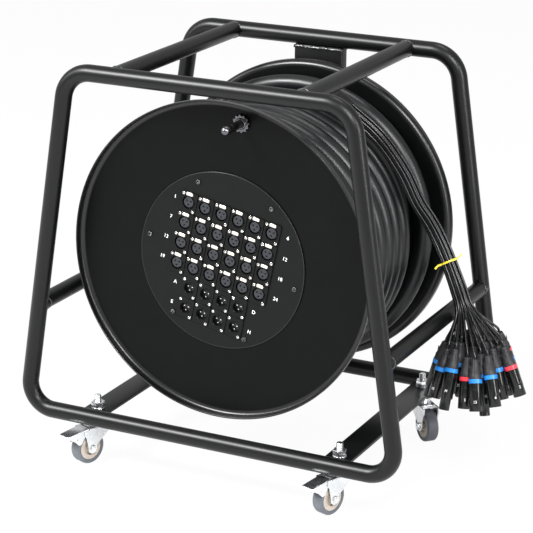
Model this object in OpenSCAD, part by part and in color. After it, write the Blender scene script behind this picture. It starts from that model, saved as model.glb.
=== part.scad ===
// Multicore cable drum on a castored tube frame, in millimetres.
// The floor is z = 0, the front (connector panel) faces -Y and the drum turns about the Y axis.

/* [Frame] */
// Outside diameter of the frame tube
tube_d = 25; // [20:0.5:30]
// Wall of the frame tube
tube_wall = 2; // [1.5:0.25:3]
// Height of a hoop between tube centrelines
hoop_h = 522; // [500:1:560]
// Width of a hoop at the bottom, between the crossing points of the tube centrelines
hoop_bottom_w = 602; // [560:1:640]
// Width of a hoop at the top, between the crossing points of the tube centrelines
hoop_top_w = 442; // [400:1:480]
// Distance between the two hoops, centre to centre
frame_depth = 376; // [372:1:420]
// Bend radius of the upper corners of a hoop
bend_top = 45; // [35:1:60]
// Bend radius of the lower corners of a hoop
bend_bottom = 38; // [30:1:50]
// Height of the bottom tubes' centreline above the floor
base_z = 79; // [77:0.5:84]
// Distance of each top tube from the middle
top_tube_x = 144; // [120:1:150]
// Height of the side tubes above the bottom tubes
side_rise = 165; // [140:1:180]
// Clearance left at a welded seam
weld_gap = 0.1; // [0.05:0.05:0.2]
// Width of a base bar
bar_w = 40; // [34:1:46]
// Thickness of a base bar
bar_t = 5; // [4:0.5:6]
// Width of the rear post
post_w = 80; // [70:1:90]
// Depth of the rear post
post_t = 20; // [16:1:22]
// Wall of the rear post
post_wall = 2.5; // [2:0.5:4]

/* [Spindle] */
// Diameter of the fixed spindle
spindle_d = 30; // [26:1:34]
// Diameter of the spindle shoulder behind the rear bearing
shoulder_d = 38; // [36:1:44]
// Diameter of the spindle flange welded to the post
spindle_flange_d = 76; // [60:1:80]
// Thickness of the spindle flange
spindle_flange_t = 6; // [5:0.5:8]
// Thread diameter for the spindle nut
spindle_thread_d = 24; // [20:1:25]
// Running clearance of a shaft in its bearing, on the radius
run_gap = 0.05; // [0.03:0.01:0.1]
// End play of the hub between its two stops
end_gap = 0.3; // [0.2:0.1:0.5]

/* [Drum] */
// Height of the drum axis above the bottom tubes
axle_rise = 258; // [254:1:262]
// Drum angle as parked, clockwise seen from the front
drum_turn = 11.8; // [0:0.1:30]
// Radius of a flange
flange_r = 236; // [232:1:238]
// Sheet thickness of a flange
flange_t = 2; // [1.5:0.25:3]
// Outside corner radius where the rim turns outward
rim_corner = 8; // [6:0.5:10]
// Depth of the turned rim, measured from the inner face
rim_depth = 14.7; // [12:0.1:16]
// Position of the front flange's inner face
front_face_y = -133; // [-134:0.5:-132]
// Position of the rear flange's inner face
rear_face_y = 147; // [146:0.5:148]
// Outside diameter of the barrel
barrel_d = 250; // [246:1:254]
// Wall of the barrel
barrel_wall = 2; // [1.5:0.25:3]
// Outside diameter of the hub tube
hub_d = 50; // [46:1:54]
// Bore of the hub tube, which seats the bearings
hub_bore = 42; // [38:1:44]
// Width of a hub bearing
bearing_w = 12; // [10:1:14]
// Position of the hub's front end
hub_front_y = -66; // [-72:1:-60]
// Thickness of the hub's front web
web_t = 3; // [2:0.5:4]

/* [Connector panel] */
// Diameter of the round connector panel
panel_d = 262; // [258:1:268]
// Thickness of the connector panel
panel_t = 2.5; // [2:0.25:3]
// Opening in the front flange behind the panel
panel_hole_d = 230; // [226:1:232]
// Diameter of the circle of panel screws
panel_screw_circle = 237; // [236:0.5:242]
// Spacing of the sockets across
socket_pitch_x = 27; // [26.6:0.1:28]
// Spacing of the sockets up and down
socket_pitch_z = 31.6; // [31.4:0.1:32]
// Height of the top socket row above the drum axis
socket_top_z = 68.2; // [66:0.1:70]
// Width of a socket flange
socket_w = 26; // [25:0.1:26.4]
// Height of a socket flange
socket_h = 31; // [30:0.1:31.2]
// Thickness of a socket flange
socket_t = 2; // [1.6:0.1:2.5]
// Diameter of a socket body behind the panel
socket_body_d = 23.6; // [23:0.1:24]
// Depth of a socket body behind the panel
socket_depth = 24; // [20:0.5:28]
// Bore of an input socket, for the shell of a plug
input_bore = 19.2; // [19:0.1:20]
// Diameter of the contact insert in an input socket
insert_d = 15; // [14.6:0.1:15.2]
// Bore of a return socket, for the nose of a plug
return_bore = 16.4; // [16.2:0.1:16.8]
// Depth of the bores in the sockets
bore_depth = 16; // [14:0.5:18]
// Diameter of a contact pin
contact_pin_d = 2.4; // [2.2:0.1:2.6]
// Diameter of the circle of contacts
contact_circle = 7.6; // [7:0.1:8]
// Travel of a latch tab
latch_travel = 1.2; // [0.8:0.1:1.6]

/* [Crank] */
// From the crank pin's axis out to the flange's rolled corner
crank_edge_gap = 20; // [17:1:28]
// Angle of the crank pin from the panel's upright, counter-clockwise
crank_angle = 3.4; // [0:0.1:10]
// Diameter of the crank sleeve
sleeve_d = 12; // [11:0.5:16]
// Length of the crank sleeve
sleeve_len = 38; // [34:1:42]
// Diameter of the crank bolt
crank_bolt_d = 8; // [7:0.5:9]
// Diameter of the toothed nut at the foot of the crank pin
crank_nut_d = 26; // [22:1:28]
// Thickness of the toothed nut
crank_nut_t = 7; // [6:0.5:8]

/* [Casters] */
// Distance of a caster from the middle, sideways
caster_x = 198.5; // [190:0.5:205]
// Distance of a caster from the middle, front to back
caster_y = 154; // [140:1:160]
// Diameter of a caster wheel
wheel_d = 50; // [48:0.5:52]
// Width of the tyre
tyre_w = 18; // [16:0.5:19]
// Diameter of the wheel hub under the tyre
wheel_hub_d = 38; // [34:1:42]
// Trail of the wheel behind the swivel axis
trail = 22; // [19:0.5:24]
// Sheet thickness of a fork
fork_t = 2.5; // [2:0.25:3]
// Gap between the legs of a fork
fork_gap = 22; // [21:0.5:23]
// Height of a fork's top face above the floor
fork_top = 57.5; // [57:0.25:58]
// Diameter of the threaded stem
stem_d = 10; // [8:0.5:12]
// Swivel angle of the front left caster
turn_front_left = -20; // [-60:1:60]
// Swivel angle of the front right caster
turn_front_right = -18; // [-60:1:60]
// Swivel angle of the rear left caster
turn_rear_left = -100; // [-180:1:180]
// Swivel angle of the rear right caster
turn_rear_right = 47; // [-180:1:180]
// Length of a brake pedal beyond its pin
pedal_len = 37; // [30:1:40]
// Downward tilt of a released brake pedal
pedal_tilt = 8; // [4:1:10]

/* [Cable] */
// Diameter of the multicore cable
cable_d = 27; // [24:0.5:27]
// Radius of the outer layer's centreline
layer_r = 191.5; // [190:0.5:193]
// Radius of the last turn's centreline, one layer higher
last_turn_r = 206.5; // [205:0.5:208]
// Position of the last turn along the axis
last_turn_y = 118; // [116:1:119]
// Diameter of one tail
tail_d = 3.8; // [3.4:0.1:3.9]
// Spacing of the tails in the bundle
tail_pitch = 4.2; // [4.2:0.1:4.4]
// Spacing of the plugs at the height of their rings
plug_pitch = 21; // [20.8:0.1:22]

/* [Plugs] */
// Length of a plug's boot
boot_len = 28; // [24:1:32]
// Diameter of a boot where the tail enters
boot_tip_d = 10; // [8:0.5:11]
// Diameter of a boot at the ring
boot_d = 17.6; // [16:0.1:18]
// Diameter of the colour ring
ring_d = 19.4; // [19:0.1:19.6]
// Height of the colour ring
ring_h = 6; // [5:0.5:7]
// Diameter of a plug body
plug_d = 18.8; // [18:0.1:19]
// Length of a plug body
plug_len = 38; // [34:1:42]
// Diameter of the nose of a return plug
nose_d = 15.2; // [15:0.1:16]
// Length of the nose of a return plug
nose_len = 17; // [14:1:20]

/* [Hidden] */
crank_r = flange_r - rim_corner - crank_edge_gap;

$fn = 48;

axle_z = base_z + axle_rise;
hoop_y = frame_depth / 2;
hoop_lean = atan2((hoop_bottom_w - hoop_top_w) / 2, hoop_h);
side_x = hoop_bottom_w / 2 - side_rise * tan(hoop_lean);
side_z = base_z + side_rise;
bar_top = base_z + 1;
post_front_y = hoop_y - post_t / 2;
black = [0.09, 0.09, 0.09];
zinc = [0.8, 0.82, 0.84];

// Positions of the four casters, with their swivel angles
FRONT_LEFT = [-caster_x, -caster_y, turn_front_left];
FRONT_RIGHT = [caster_x, -caster_y, turn_front_right];
REAR_LEFT = [-caster_x, caster_y, turn_rear_left];
REAR_RIGHT = [caster_x, caster_y, turn_rear_right];
CASTERS = [FRONT_LEFT, FRONT_RIGHT, REAR_LEFT, REAR_RIGHT];

// Vector helpers
function unit(v) = v / norm(v);
function mix(a, b, t) = a + (b - a) * t;
function ease(t) = t * t * (3 - 2 * t);
function clamp01(t) = max(0, min(1, t));

// A tube swept along a path: its rings, then its faces
function path_dir(path, i) = unit(path[min(i + 1, len(path) - 1)] - path[max(i - 1, 0)]);
function side_dir(dir, across) = unit(across - (across * dir) * dir);
function tube_points(path, r, sides, across) = [
  for (i = [0 : len(path) - 1])
    let (dir = path_dir(path, i), u = side_dir(dir, across), v = cross(u, dir))
      for (s = [0 : sides - 1]) path[i] + r * (cos(360 * s / sides) * u + sin(360 * s / sides) * v)
];
function tube_faces(rings, sides) = concat(
  [[for (s = [0 : sides - 1]) s]],
  [for (i = [0 : rings - 2]) for (s = [0 : sides - 1])
    [i * sides + (s + 1) % sides, i * sides + s, (i + 1) * sides + s, (i + 1) * sides + (s + 1) % sides]],
  [[for (s = [sides - 1 : -1 : 0]) (rings - 1) * sides + s]]
);
module swept_tube(path, r, sides, across) {
  polyhedron(tube_points(path, r, sides, across), tube_faces(len(path), sides), convexity = 10);
}

// A straight rod between two points
module rod(a, b, d) {
  dir = b - a;
  translate(a)
    rotate([0, acos(dir.z / norm(dir)), atan2(dir.y, dir.x)])
      cylinder(h = norm(dir), d = d);
}
// Children stood with +Z along a direction
module aim(at, dir) {
  translate(at)
    rotate([0, acos(dir.z / norm(dir)), atan2(dir.y, dir.x)])
      children();
}
// Cylinder along Y, from y0 to y1
module rod_y(y0, y1, d) {
  translate([0, y0, 0])
    rotate([-90, 0, 0])
      cylinder(h = y1 - y0, d = d);
}
module ring_y(y0, y1, d, bore) {
  difference() {
    rod_y(y0, y1, d);
    rod_y(y0 - 1, y1 + 1, bore);
  }
}
// Cylinder along X, centred
module rod_x(len, d) {
  translate([-len / 2, 0, 0])
    rotate([0, 90, 0])
      cylinder(h = len, d = d);
}

// Hoops: straight runs and bends along a closed outline drawn in a plane
HOOP = [
  [-hoop_bottom_w / 2, 0], [hoop_bottom_w / 2, 0],
  [hoop_top_w / 2, hoop_h], [-hoop_top_w / 2, hoop_h]
];
HOOP_BENDS = [bend_bottom, bend_bottom, bend_top, bend_top];
function heading(a, b) = atan2(b.y - a.y, b.x - a.x);
function hoop_point(i) = HOOP[(i + 4) % 4];
function hoop_dir(i) = unit(hoop_point(i + 1) - hoop_point(i));
function hoop_turn(i) = acos(hoop_dir(i - 1) * hoop_dir(i));
function hoop_setback(i) = HOOP_BENDS[(i + 4) % 4] * tan(hoop_turn(i) / 2);

// Seams between bends and straight runs stand a hair proud
module hoop_seam(at, way, d) {
  translate(at)
    rotate([0, 0, way])
      rotate([90, 0, 90])
        translate([0, 0, -1])
          linear_extrude(2)
            circle(d = d + 0.2);
}
module hoop_run(d) {
  for (i = [0 : 3]) {
    start = hoop_point(i) + hoop_dir(i) * hoop_setback(i);
    end = hoop_point(i + 1) - hoop_dir(i) * hoop_setback(i + 1);
    way = heading(start, end);
    hoop_seam(start, way, d);
    hoop_seam(end, way, d);
    translate(start)
      rotate([0, 0, way])
        rotate([90, 0, 90])
          linear_extrude(norm(end - start))
            circle(d = d);
    bend_start = hoop_point(i) - hoop_dir(i - 1) * hoop_setback(i);
    translate(bend_start)
      rotate([0, 0, heading([0, 0], hoop_dir(i - 1)) - 90])
        translate([-HOOP_BENDS[i], 0, 0])
          rotate_extrude(angle = hoop_turn(i))
            translate([HOOP_BENDS[i], 0])
              circle(d = d);
  }
}
// Vent holes under the ends of the cross tubes keep the hoop's bore open
module hoop_at(y) {
  inward = y > 0 ? -1 : 1;
  difference() {
    translate([0, y, base_z])
      rotate([90, 0, 0])
        hoop_run(tube_d);
    translate([0, y, base_z])
      rotate([90, 0, 0])
        hoop_run(tube_d - 2 * tube_wall);
    for (side = [-1, 1]) {
      translate([side * top_tube_x, y, base_z + hoop_h])
        rotate([inward * -90, 0, 0])
          cylinder(h = tube_d, d = 8);
      translate([side * side_x, y, side_z])
        rotate([inward * -90, 0, 0])
          cylinder(h = tube_d, d = 8);
    }
  }
}
module front_hoop() { color(black) hoop_at(-hoop_y); }
module rear_hoop() { color(black) hoop_at(hoop_y); }

// Tubes between the hoops, with saddle-cut ends
module cross_tube(x, z, lean) {
  difference() {
    translate([x, 0, z])
      ring_y(-hoop_y, hoop_y, tube_d, tube_d - 2 * tube_wall);
    for (end = [-1, 1])
      translate([x, end * hoop_y, z])
        rotate([0, lean, 0])
          rod_x(4 * tube_d, tube_d + 2 * weld_gap);
  }
}
module top_tube_left() { color(black) cross_tube(-top_tube_x, base_z + hoop_h, 0); }
module top_tube_right() { color(black) cross_tube(top_tube_x, base_z + hoop_h, 0); }
module side_tube_left() { color(black) cross_tube(-side_x, side_z, hoop_lean - 90); }
module side_tube_right() { color(black) cross_tube(side_x, side_z, 90 - hoop_lean); }

module base_bar(x) {
  bar_len = frame_depth - tube_d - 2 * weld_gap;
  difference() {
    translate([x - bar_w / 2, -bar_len / 2, bar_top - bar_t])
      cube([bar_w, bar_len, bar_t]);
    for (end = [-1, 1])
      translate([x, end * caster_y, bar_top - bar_t - 1])
        cylinder(h = bar_t + 2, d = stem_d + 0.4);
  }
}
module base_bar_left() { color(black) base_bar(-caster_x); }
module base_bar_right() { color(black) base_bar(caster_x); }

module rear_post() {
  color(black)
    difference() {
      translate([-post_w / 2, post_front_y, base_z])
        cube([post_w, post_t, hoop_h]);
      translate([-post_w / 2 + post_wall, post_front_y + post_wall, base_z - 1])
        cube([post_w - 2 * post_wall, post_t - 2 * post_wall, hoop_h + 2]);
      for (z = [base_z, base_z + hoop_h])
        translate([0, hoop_y, z])
          rod_x(2 * post_w, tube_d + 2 * weld_gap);
    }
}

// Spindle: a fixed shaft that carries the drum from the rear post
spindle_flange_y = post_front_y - weld_gap - spindle_flange_t;
hub_rear_y = rear_face_y + flange_t + 10;
nut_stop_y = hub_front_y - end_gap;
module spindle() {
  color(zinc)
    translate([0, 0, axle_z]) {
      rod_y(nut_stop_y, spindle_flange_y + 1, spindle_d);
      rod_y(nut_stop_y - 18, nut_stop_y + 1, spindle_thread_d);
      rod_y(hub_rear_y + end_gap, spindle_flange_y + 1, shoulder_d);
      rod_y(spindle_flange_y, spindle_flange_y + spindle_flange_t, spindle_flange_d);
    }
}
module spindle_nut() {
  color(zinc)
    translate([0, 0, axle_z]) {
      ring_y(nut_stop_y - 3, nut_stop_y - weld_gap, spindle_d + 8, spindle_thread_d + 2 * run_gap);
      difference() {
        translate([0, nut_stop_y - 3 - 12, 0])
          rotate([-90, 0, 0])
            cylinder(h = 12, d = spindle_thread_d * 1.6, $fn = 6);
        rod_y(nut_stop_y - 20, nut_stop_y, spindle_thread_d + 2 * run_gap);
      }
    }
}

// Casters: the stem is fixed to the bar, the fork turns on its kingpin
cup_bottom = fork_top + 4.3;
collar_bottom = cup_bottom + 5;
kingpin_d = 8;
module caster_stems() {
  color(zinc)
    for (c = CASTERS)
      translate([c.x, c.y, 0]) {
        translate([0, 0, bar_top - bar_t - 1]) cylinder(h = bar_t + 23, d = stem_d);
        translate([0, 0, collar_bottom - 0.5])
          cylinder(h = bar_top - bar_t - weld_gap - collar_bottom + 0.5, d = 18);
        translate([0, 0, cup_bottom]) cylinder(h = 5, d = 32);
        translate([0, 0, fork_top - fork_t - 1]) cylinder(h = 7, d = kingpin_d);
        translate([0, 0, fork_top - fork_t - 2.3]) cylinder(h = 2, d = 13);
      }
}
module stem_nuts() {
  color(zinc)
    for (c = CASTERS)
      translate([c.x, c.y, bar_top]) {
        difference() {
          union() {
            cylinder(h = 3, d = 20);
            translate([0, 0, 3]) cylinder(h = 8.5, d = 19.6, $fn = 6);
          }
          translate([0, 0, -1]) cylinder(h = 15, d = stem_d + 2 * run_gap);
        }
      }
}
// Children placed on a caster, with the trail toward local -Y
module at_caster(c) {
  translate([c.x, c.y, 0])
    rotate([0, 0, c.z])
      children();
}
fork_outer = fork_gap + 2 * fork_t;
axle_d = 6;
pedal_pin_d = 4;
pedal_pin = [0, -trail - 8, fork_top - 2.4];
module fork(c) {
  color(zinc)
    at_caster(c)
      difference() {
        union() {
          translate([-fork_outer / 2, -trail - 1, fork_top - fork_t]) cube([fork_outer, trail + 13, fork_t]);
          translate([0, 0, fork_top - 0.5]) cylinder(h = 4.5, d = 26);
          for (side = [-1, 1])
            translate([side * (fork_gap + fork_t) / 2 - fork_t / 2, 0, 0])
              rotate([90, 0, 90])
                linear_extrude(fork_t) {
                  polygon([
                    [12, fork_top], [-trail - 14, fork_top], [-trail - 14, fork_top - 8],
                    [-trail - 8, wheel_d / 2], [-trail + 8, wheel_d / 2], [12, fork_top - 12]
                  ]);
                  translate([-trail, wheel_d / 2]) circle(d = 16);
                }
        }
        translate([0, 0, fork_top - 5]) cylinder(h = 12, d = kingpin_d + 0.2);
        translate([0, -trail, wheel_d / 2]) rod_x(fork_outer + 4, axle_d + 0.1);
        translate(pedal_pin) rod_x(fork_outer + 4, pedal_pin_d + 0.2);
      }
}
module caster_axle(c) {
  color(zinc)
    at_caster(c)
      translate([0, -trail, wheel_d / 2]) {
        rod_x(fork_outer + 8, axle_d);
        translate([fork_outer / 2 + 0.1, 0, 0]) rotate([0, 90, 0]) cylinder(h = 3, d = 11);
        translate([-fork_outer / 2 - 5.1, 0, 0]) rotate([0, 90, 0]) cylinder(h = 5, d = 11.5, $fn = 6);
      }
}
module caster_wheel(c) {
  color([0.74, 0.71, 0.64])
    at_caster(c)
      translate([0, -trail, wheel_d / 2])
        difference() {
          union() {
            rod_x(tyre_w - 2, wheel_hub_d);
            rod_x(fork_gap - 1, 16);
          }
          rod_x(fork_gap + 2, axle_d + 0.3);
          for (side = [-1, 1])
            translate([side * (tyre_w / 2 + 1), 0, 0])
              difference() {
                rod_x(6, wheel_hub_d - 7);
                rod_x(8, 16);
              }
        }
}
module caster_tyre(c) {
  color([0.5, 0.52, 0.53])
    at_caster(c)
      translate([0, -trail, wheel_d / 2])
        rotate([0, 90, 0])
          rotate_extrude()
            difference() {
              translate([wheel_hub_d / 2, -tyre_w / 2]) square([(wheel_d - wheel_hub_d) / 2, tyre_w]);
              for (side = [-1, 1])
                translate([wheel_d / 2 - 3, side * (tyre_w / 2 - 3)])
                  difference() {
                    translate([0, side > 0 ? 0 : -4]) square(4);
                    circle(r = 3);
                  }
            }
}
// Brake pedal with its cross pin, pivoting between the legs of the fork
module brake_pedal(c) {
  pedal_w = fork_gap - 1;
  color(zinc)
    at_caster(c)
      translate(pedal_pin)
        rotate([pedal_tilt, 0, 0]) {
          rod_x(fork_outer + 3, pedal_pin_d);
          rod_x(pedal_w, 7);
          translate([-pedal_w / 2, -pedal_len, 1]) cube([pedal_w, pedal_len, 2.2]);
          for (side = [-1, 1])
            translate([side * (pedal_w / 2 - 1) - 1, -pedal_len, -4]) cube([2, pedal_len - 18, 6]);
          translate([-pedal_w / 2, -pedal_len, -4]) cube([pedal_w, 2, 6]);
        }
}

// Drum: everything that turns, drawn around the Y axis and turned to its parked angle
module on_drum() {
  translate([0, 0, axle_z])
    rotate([0, drum_turn, 0])
      children();
}
module revolve_y() {
  rotate([-90, 0, 0])
    rotate_extrude($fn = 96)
      children();
}
// Section of a flange: inner face at zero, rim turned toward positive
module flange_section(hole_d) {
  translate([hole_d / 2, 0]) square([flange_r - rim_corner - hole_d / 2, flange_t]);
  translate([flange_r - flange_t, rim_corner]) square([flange_t, rim_depth - rim_corner]);
  translate([flange_r - rim_corner, rim_corner])
    intersection() {
      difference() {
        circle(r = rim_corner);
        circle(r = rim_corner - flange_t);
      }
      translate([0, -rim_corner]) square(rim_corner);
    }
}
panel_back_y = front_face_y - flange_t;
panel_front_y = panel_back_y - panel_t;
panel_screw_hole = 3.8;
module front_flange() {
  color(black)
    on_drum()
      difference() {
        translate([0, front_face_y, 0])
          mirror([0, 1, 0])
            revolve_y() flange_section(panel_hole_d);
        at_panel_screws() rod_y(panel_back_y - 1, front_face_y + 1, panel_screw_hole);
        at_crank() rod_y(panel_back_y - 1, front_face_y + 1, crank_bolt_d + 0.2);
      }
}
module rear_flange() {
  color(black)
    on_drum()
      translate([0, rear_face_y, 0])
        revolve_y() flange_section(hub_d + 2 * weld_gap);
}
gland_y = -96;
gland_d = cable_d + 9;
module barrel() {
  color([0.2, 0.2, 0.2])
    on_drum()
      difference() {
        ring_y(front_face_y + weld_gap, rear_face_y - weld_gap, barrel_d, barrel_d - 2 * barrel_wall);
        translate([0, gland_y, -barrel_d / 2 - 5]) cylinder(h = 12, d = gland_d + 0.4);
      }
}
// Hub tube with a web inside the barrel and a backing plate on the rear flange
module hub() {
  web_d = barrel_d - 2 * barrel_wall - 2 * weld_gap;
  plate_y = rear_face_y + flange_t + weld_gap;
  color([0.25, 0.25, 0.25])
    on_drum()
      difference() {
        union() {
          rod_y(hub_front_y, hub_rear_y, hub_d);
          rod_y(hub_front_y, hub_front_y + web_t, web_d);
          rod_y(plate_y, plate_y + 4, hub_d + 70);
        }
        rod_y(hub_front_y - 1, hub_rear_y + 1, hub_bore - 4);
        for (end = [hub_front_y - 1, hub_rear_y - bearing_w])
          rod_y(end, end + bearing_w + 1, hub_bore);
        for (i = [0 : 5])
          rotate([0, 60 * i, 0])
            translate([0, 0, (hub_d + web_d) / 4])
              rod_y(hub_front_y - 1, hub_front_y + web_t + 1, 56);
      }
}
module hub_bearings() {
  color(zinc)
    on_drum()
      for (y = [hub_front_y, hub_rear_y - bearing_w])
        ring_y(y, y + bearing_w, hub_bore, spindle_d + 2 * run_gap);
}

// Connector panel and its sockets
module at_panel_screws() {
  for (i = [0 : 5])
    rotate([0, 30 + 60 * i, 0])
      translate([0, 0, panel_screw_circle / 2])
        children();
}
INPUTS = [for (row = [0 : 3]) for (col = [0 : 5]) [(col - 2.5) * socket_pitch_x, socket_top_z - row * socket_pitch_z]];
RETURNS = [for (row = [4 : 5]) for (col = [1 : 4]) [(col - 2.5) * socket_pitch_x, socket_top_z - row * socket_pitch_z]];
module at_sockets(places) {
  for (p = places)
    translate([p.x, panel_front_y, p.y])
      children();
}
SOCKET_SCREWS = [[-9.5, 12], [9.5, -12]];
screw_d = 3;
module at_socket_screws() {
  for (s = SOCKET_SCREWS)
    translate([s.x, 0, s.y])
      children();
}
module connector_panel() {
  color([0.13, 0.14, 0.14])
    on_drum()
      difference() {
        rod_y(panel_front_y, panel_back_y, panel_d);
        at_sockets(concat(INPUTS, RETURNS)) {
          rod_y(-1, panel_t + 1, socket_body_d + 0.4);
          at_socket_screws() rod_y(-1, panel_t + 1, screw_d + 0.2);
        }
        at_panel_screws() rod_y(panel_front_y - 1, panel_back_y + 1, panel_screw_hole);
      }
}
module panel_screws() {
  color(zinc)
    on_drum()
      at_panel_screws() {
        rod_y(panel_front_y - 2, panel_front_y, 7);
        rod_y(panel_front_y - 0.5, front_face_y, panel_screw_hole - 0.2);
      }
}
// Flange plate and body common to both kinds of socket
module socket_shell(bore) {
  difference() {
    union() {
      translate([-socket_w / 2, -socket_t, -socket_h / 2]) cube([socket_w, socket_t, socket_h]);
      rod_y(-0.5, panel_t + socket_depth, socket_body_d);
    }
    rod_y(-socket_t - 1, bore_depth, bore);
    at_socket_screws() rod_y(-socket_t - 1, 1, screw_d + 0.2);
  }
}
latch_w = 9.4;
latch_h = 3.6;
latch_z = 12.9;
latch_gap = 0.3;
module input_sockets() {
  color(black)
    on_drum()
      at_sockets(INPUTS)
        difference() {
          socket_shell(input_bore);
          translate([-latch_w / 2 - latch_gap, -socket_t - 1, latch_z - latch_h / 2 - latch_gap])
            cube([latch_w + 2 * latch_gap, socket_t + 1 + latch_gap, latch_h + 2 * latch_gap]);
        }
}
// Contacts lie on a circle: one at the foot, two at the top
CONTACTS = [for (a = [180, 60, -60]) [contact_circle / 2 * sin(a), contact_circle / 2 * cos(a)]];
module at_contacts() {
  for (c = CONTACTS)
    translate([c.x, 0, c.y])
      children();
}
module input_inserts() {
  color([0.3, 0.31, 0.32])
    on_drum()
      at_sockets(INPUTS)
        difference() {
          rod_y(-socket_t + 0.4, bore_depth, insert_d);
          at_contacts() rod_y(-socket_t - 1, bore_depth - 3, contact_pin_d + 0.2);
        }
}
module input_latches() {
  color([0.9, 0.89, 0.85])
    on_drum()
      at_sockets(INPUTS)
        translate([-latch_w / 2, -socket_t - latch_travel - 0.4, latch_z - latch_h / 2])
          cube([latch_w, socket_t + 0.4 - latch_gap, latch_h]);
}
module return_sockets() {
  color(black)
    on_drum()
      at_sockets(RETURNS)
        difference() {
          socket_shell(return_bore);
          translate([-1.6, -socket_t - 1, return_bore / 2 - 1]) cube([3.2, 12, 2.4]);
          at_contacts() rod_y(bore_depth - 1, bore_depth + 6, contact_pin_d);
        }
}
module return_pins() {
  color([0.85, 0.84, 0.8])
    on_drum()
      at_sockets(RETURNS)
        at_contacts() {
          rod_y(3.5, bore_depth + 6, contact_pin_d);
          translate([0, 3.5, 0]) sphere(d = contact_pin_d);
        }
}
module socket_screws() {
  color(zinc)
    on_drum()
      at_sockets(concat(INPUTS, RETURNS))
        at_socket_screws() {
          rod_y(-socket_t - 1.2, -socket_t, 5.2);
          rod_y(-socket_t - 0.5, panel_t + 1, screw_d);
        }
}

// Crank: a bolt through the front flange, a toothed nut at its foot and a sleeve that turns on it
module at_crank() {
  rotate([0, -crank_angle, 0])
    translate([0, 0, crank_r])
      children();
}
sleeve_foot_y = panel_back_y - crank_nut_t - 1;
sleeve_tip_y = sleeve_foot_y - sleeve_len;
module crank_pin() {
  color(zinc)
    on_drum()
      at_crank() {
        rod_y(sleeve_tip_y - 1, front_face_y + 1, crank_bolt_d);
        rod_y(front_face_y + 0.1, front_face_y + 1.1, 14);
        rod_y(sleeve_tip_y - 4, sleeve_tip_y - end_gap, sleeve_d + 1);
        translate([0, sleeve_tip_y - 4, 0])
          intersection() {
            sphere(d = sleeve_d + 1);
            rod_y(-sleeve_d, 0.01, 2 * sleeve_d);
          }
      }
}
module crank_nut() {
  teeth = 12;
  color(zinc)
    on_drum()
      at_crank()
        difference() {
          union() {
            rod_y(panel_back_y - crank_nut_t, panel_back_y, crank_nut_d * 0.6);
            rod_y(panel_back_y - crank_nut_t * 0.7, panel_back_y, crank_nut_d * 0.88);
            for (i = [0 : teeth - 1])
              rotate([0, 360 / teeth * i, 0])
                translate([-1.6, panel_back_y - crank_nut_t * 0.7, crank_nut_d * 0.4])
                  cube([3.2, crank_nut_t * 0.7, crank_nut_d * 0.1]);
          }
          rod_y(panel_back_y - crank_nut_t - 1, panel_back_y + 1, crank_bolt_d + 2 * run_gap);
        }
}
module crank_sleeve() {
  color([0.05, 0.05, 0.05])
    on_drum()
      at_crank()
        ring_y(sleeve_tip_y, sleeve_foot_y + 1 - end_gap, sleeve_d, crank_bolt_d + 2 * run_gap);
}

// Winding: the outer layer, eight rings short of the last turn, which lies one layer higher
rings_per_turn = 24;
turn_gap = 0.6;
turn_pitch = cable_d + turn_gap;
layer_turns = 7;
cross_rings = 9;
last_rings = 14;
first_turn_y = front_face_y + cable_d / 2 + 0.4;
layer_end_y = first_turn_y + layer_turns * turn_pitch;
layer_rings = layer_turns * rings_per_turn;
cross_end = layer_rings + cross_rings;
last_end = cross_end + last_rings;
function wound_y(i) = i < layer_rings
  ? first_turn_y + max(i, 0) / rings_per_turn * turn_pitch + (i < -1 ? 3 : 0)
  : mix(layer_end_y, last_turn_y, ease(clamp01((i - layer_rings) / cross_rings)));
function wound_r(i) = i < 0
  ? layer_r + [0, -7.5, -23.5][-i]
  : i > last_end
  ? last_turn_r + [0, -8.5, -22.5, -38.5][i - last_end]
  : mix(layer_r, last_turn_r, ease(clamp01((i - layer_rings) / cross_rings)));
function wound_angle(i) = 180 + 360 / rings_per_turn * i;
function wound_point(i) = [wound_r(i) * sin(wound_angle(i)), wound_y(i), wound_r(i) * cos(wound_angle(i))];
// Each end dives into the layers below and runs straight for one cable diameter
WOUND_MIDDLE = [for (i = [-2 : last_end + 3]) wound_point(i)];
wound_last = len(WOUND_MIDDLE) - 1;
FIRST_END = WOUND_MIDDLE[0] + cable_d * unit(WOUND_MIDDLE[0] - WOUND_MIDDLE[1]);
LAST_END = WOUND_MIDDLE[wound_last] + cable_d * unit(WOUND_MIDDLE[wound_last] - WOUND_MIDDLE[wound_last - 1]);
WOUND = concat([FIRST_END], WOUND_MIDDLE, [LAST_END]);
// Least gap of the winding to itself, over points at least half a turn apart
function least(v) = min([for (x = v) x]);
winding_gap = least([
  for (i = [0 : len(WOUND) - 13])
    least([for (j = [i + 12 : len(WOUND) - 1]) norm(WOUND[i] - WOUND[j])])
]) - cable_d;
echo(winding_gap = winding_gap);

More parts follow.
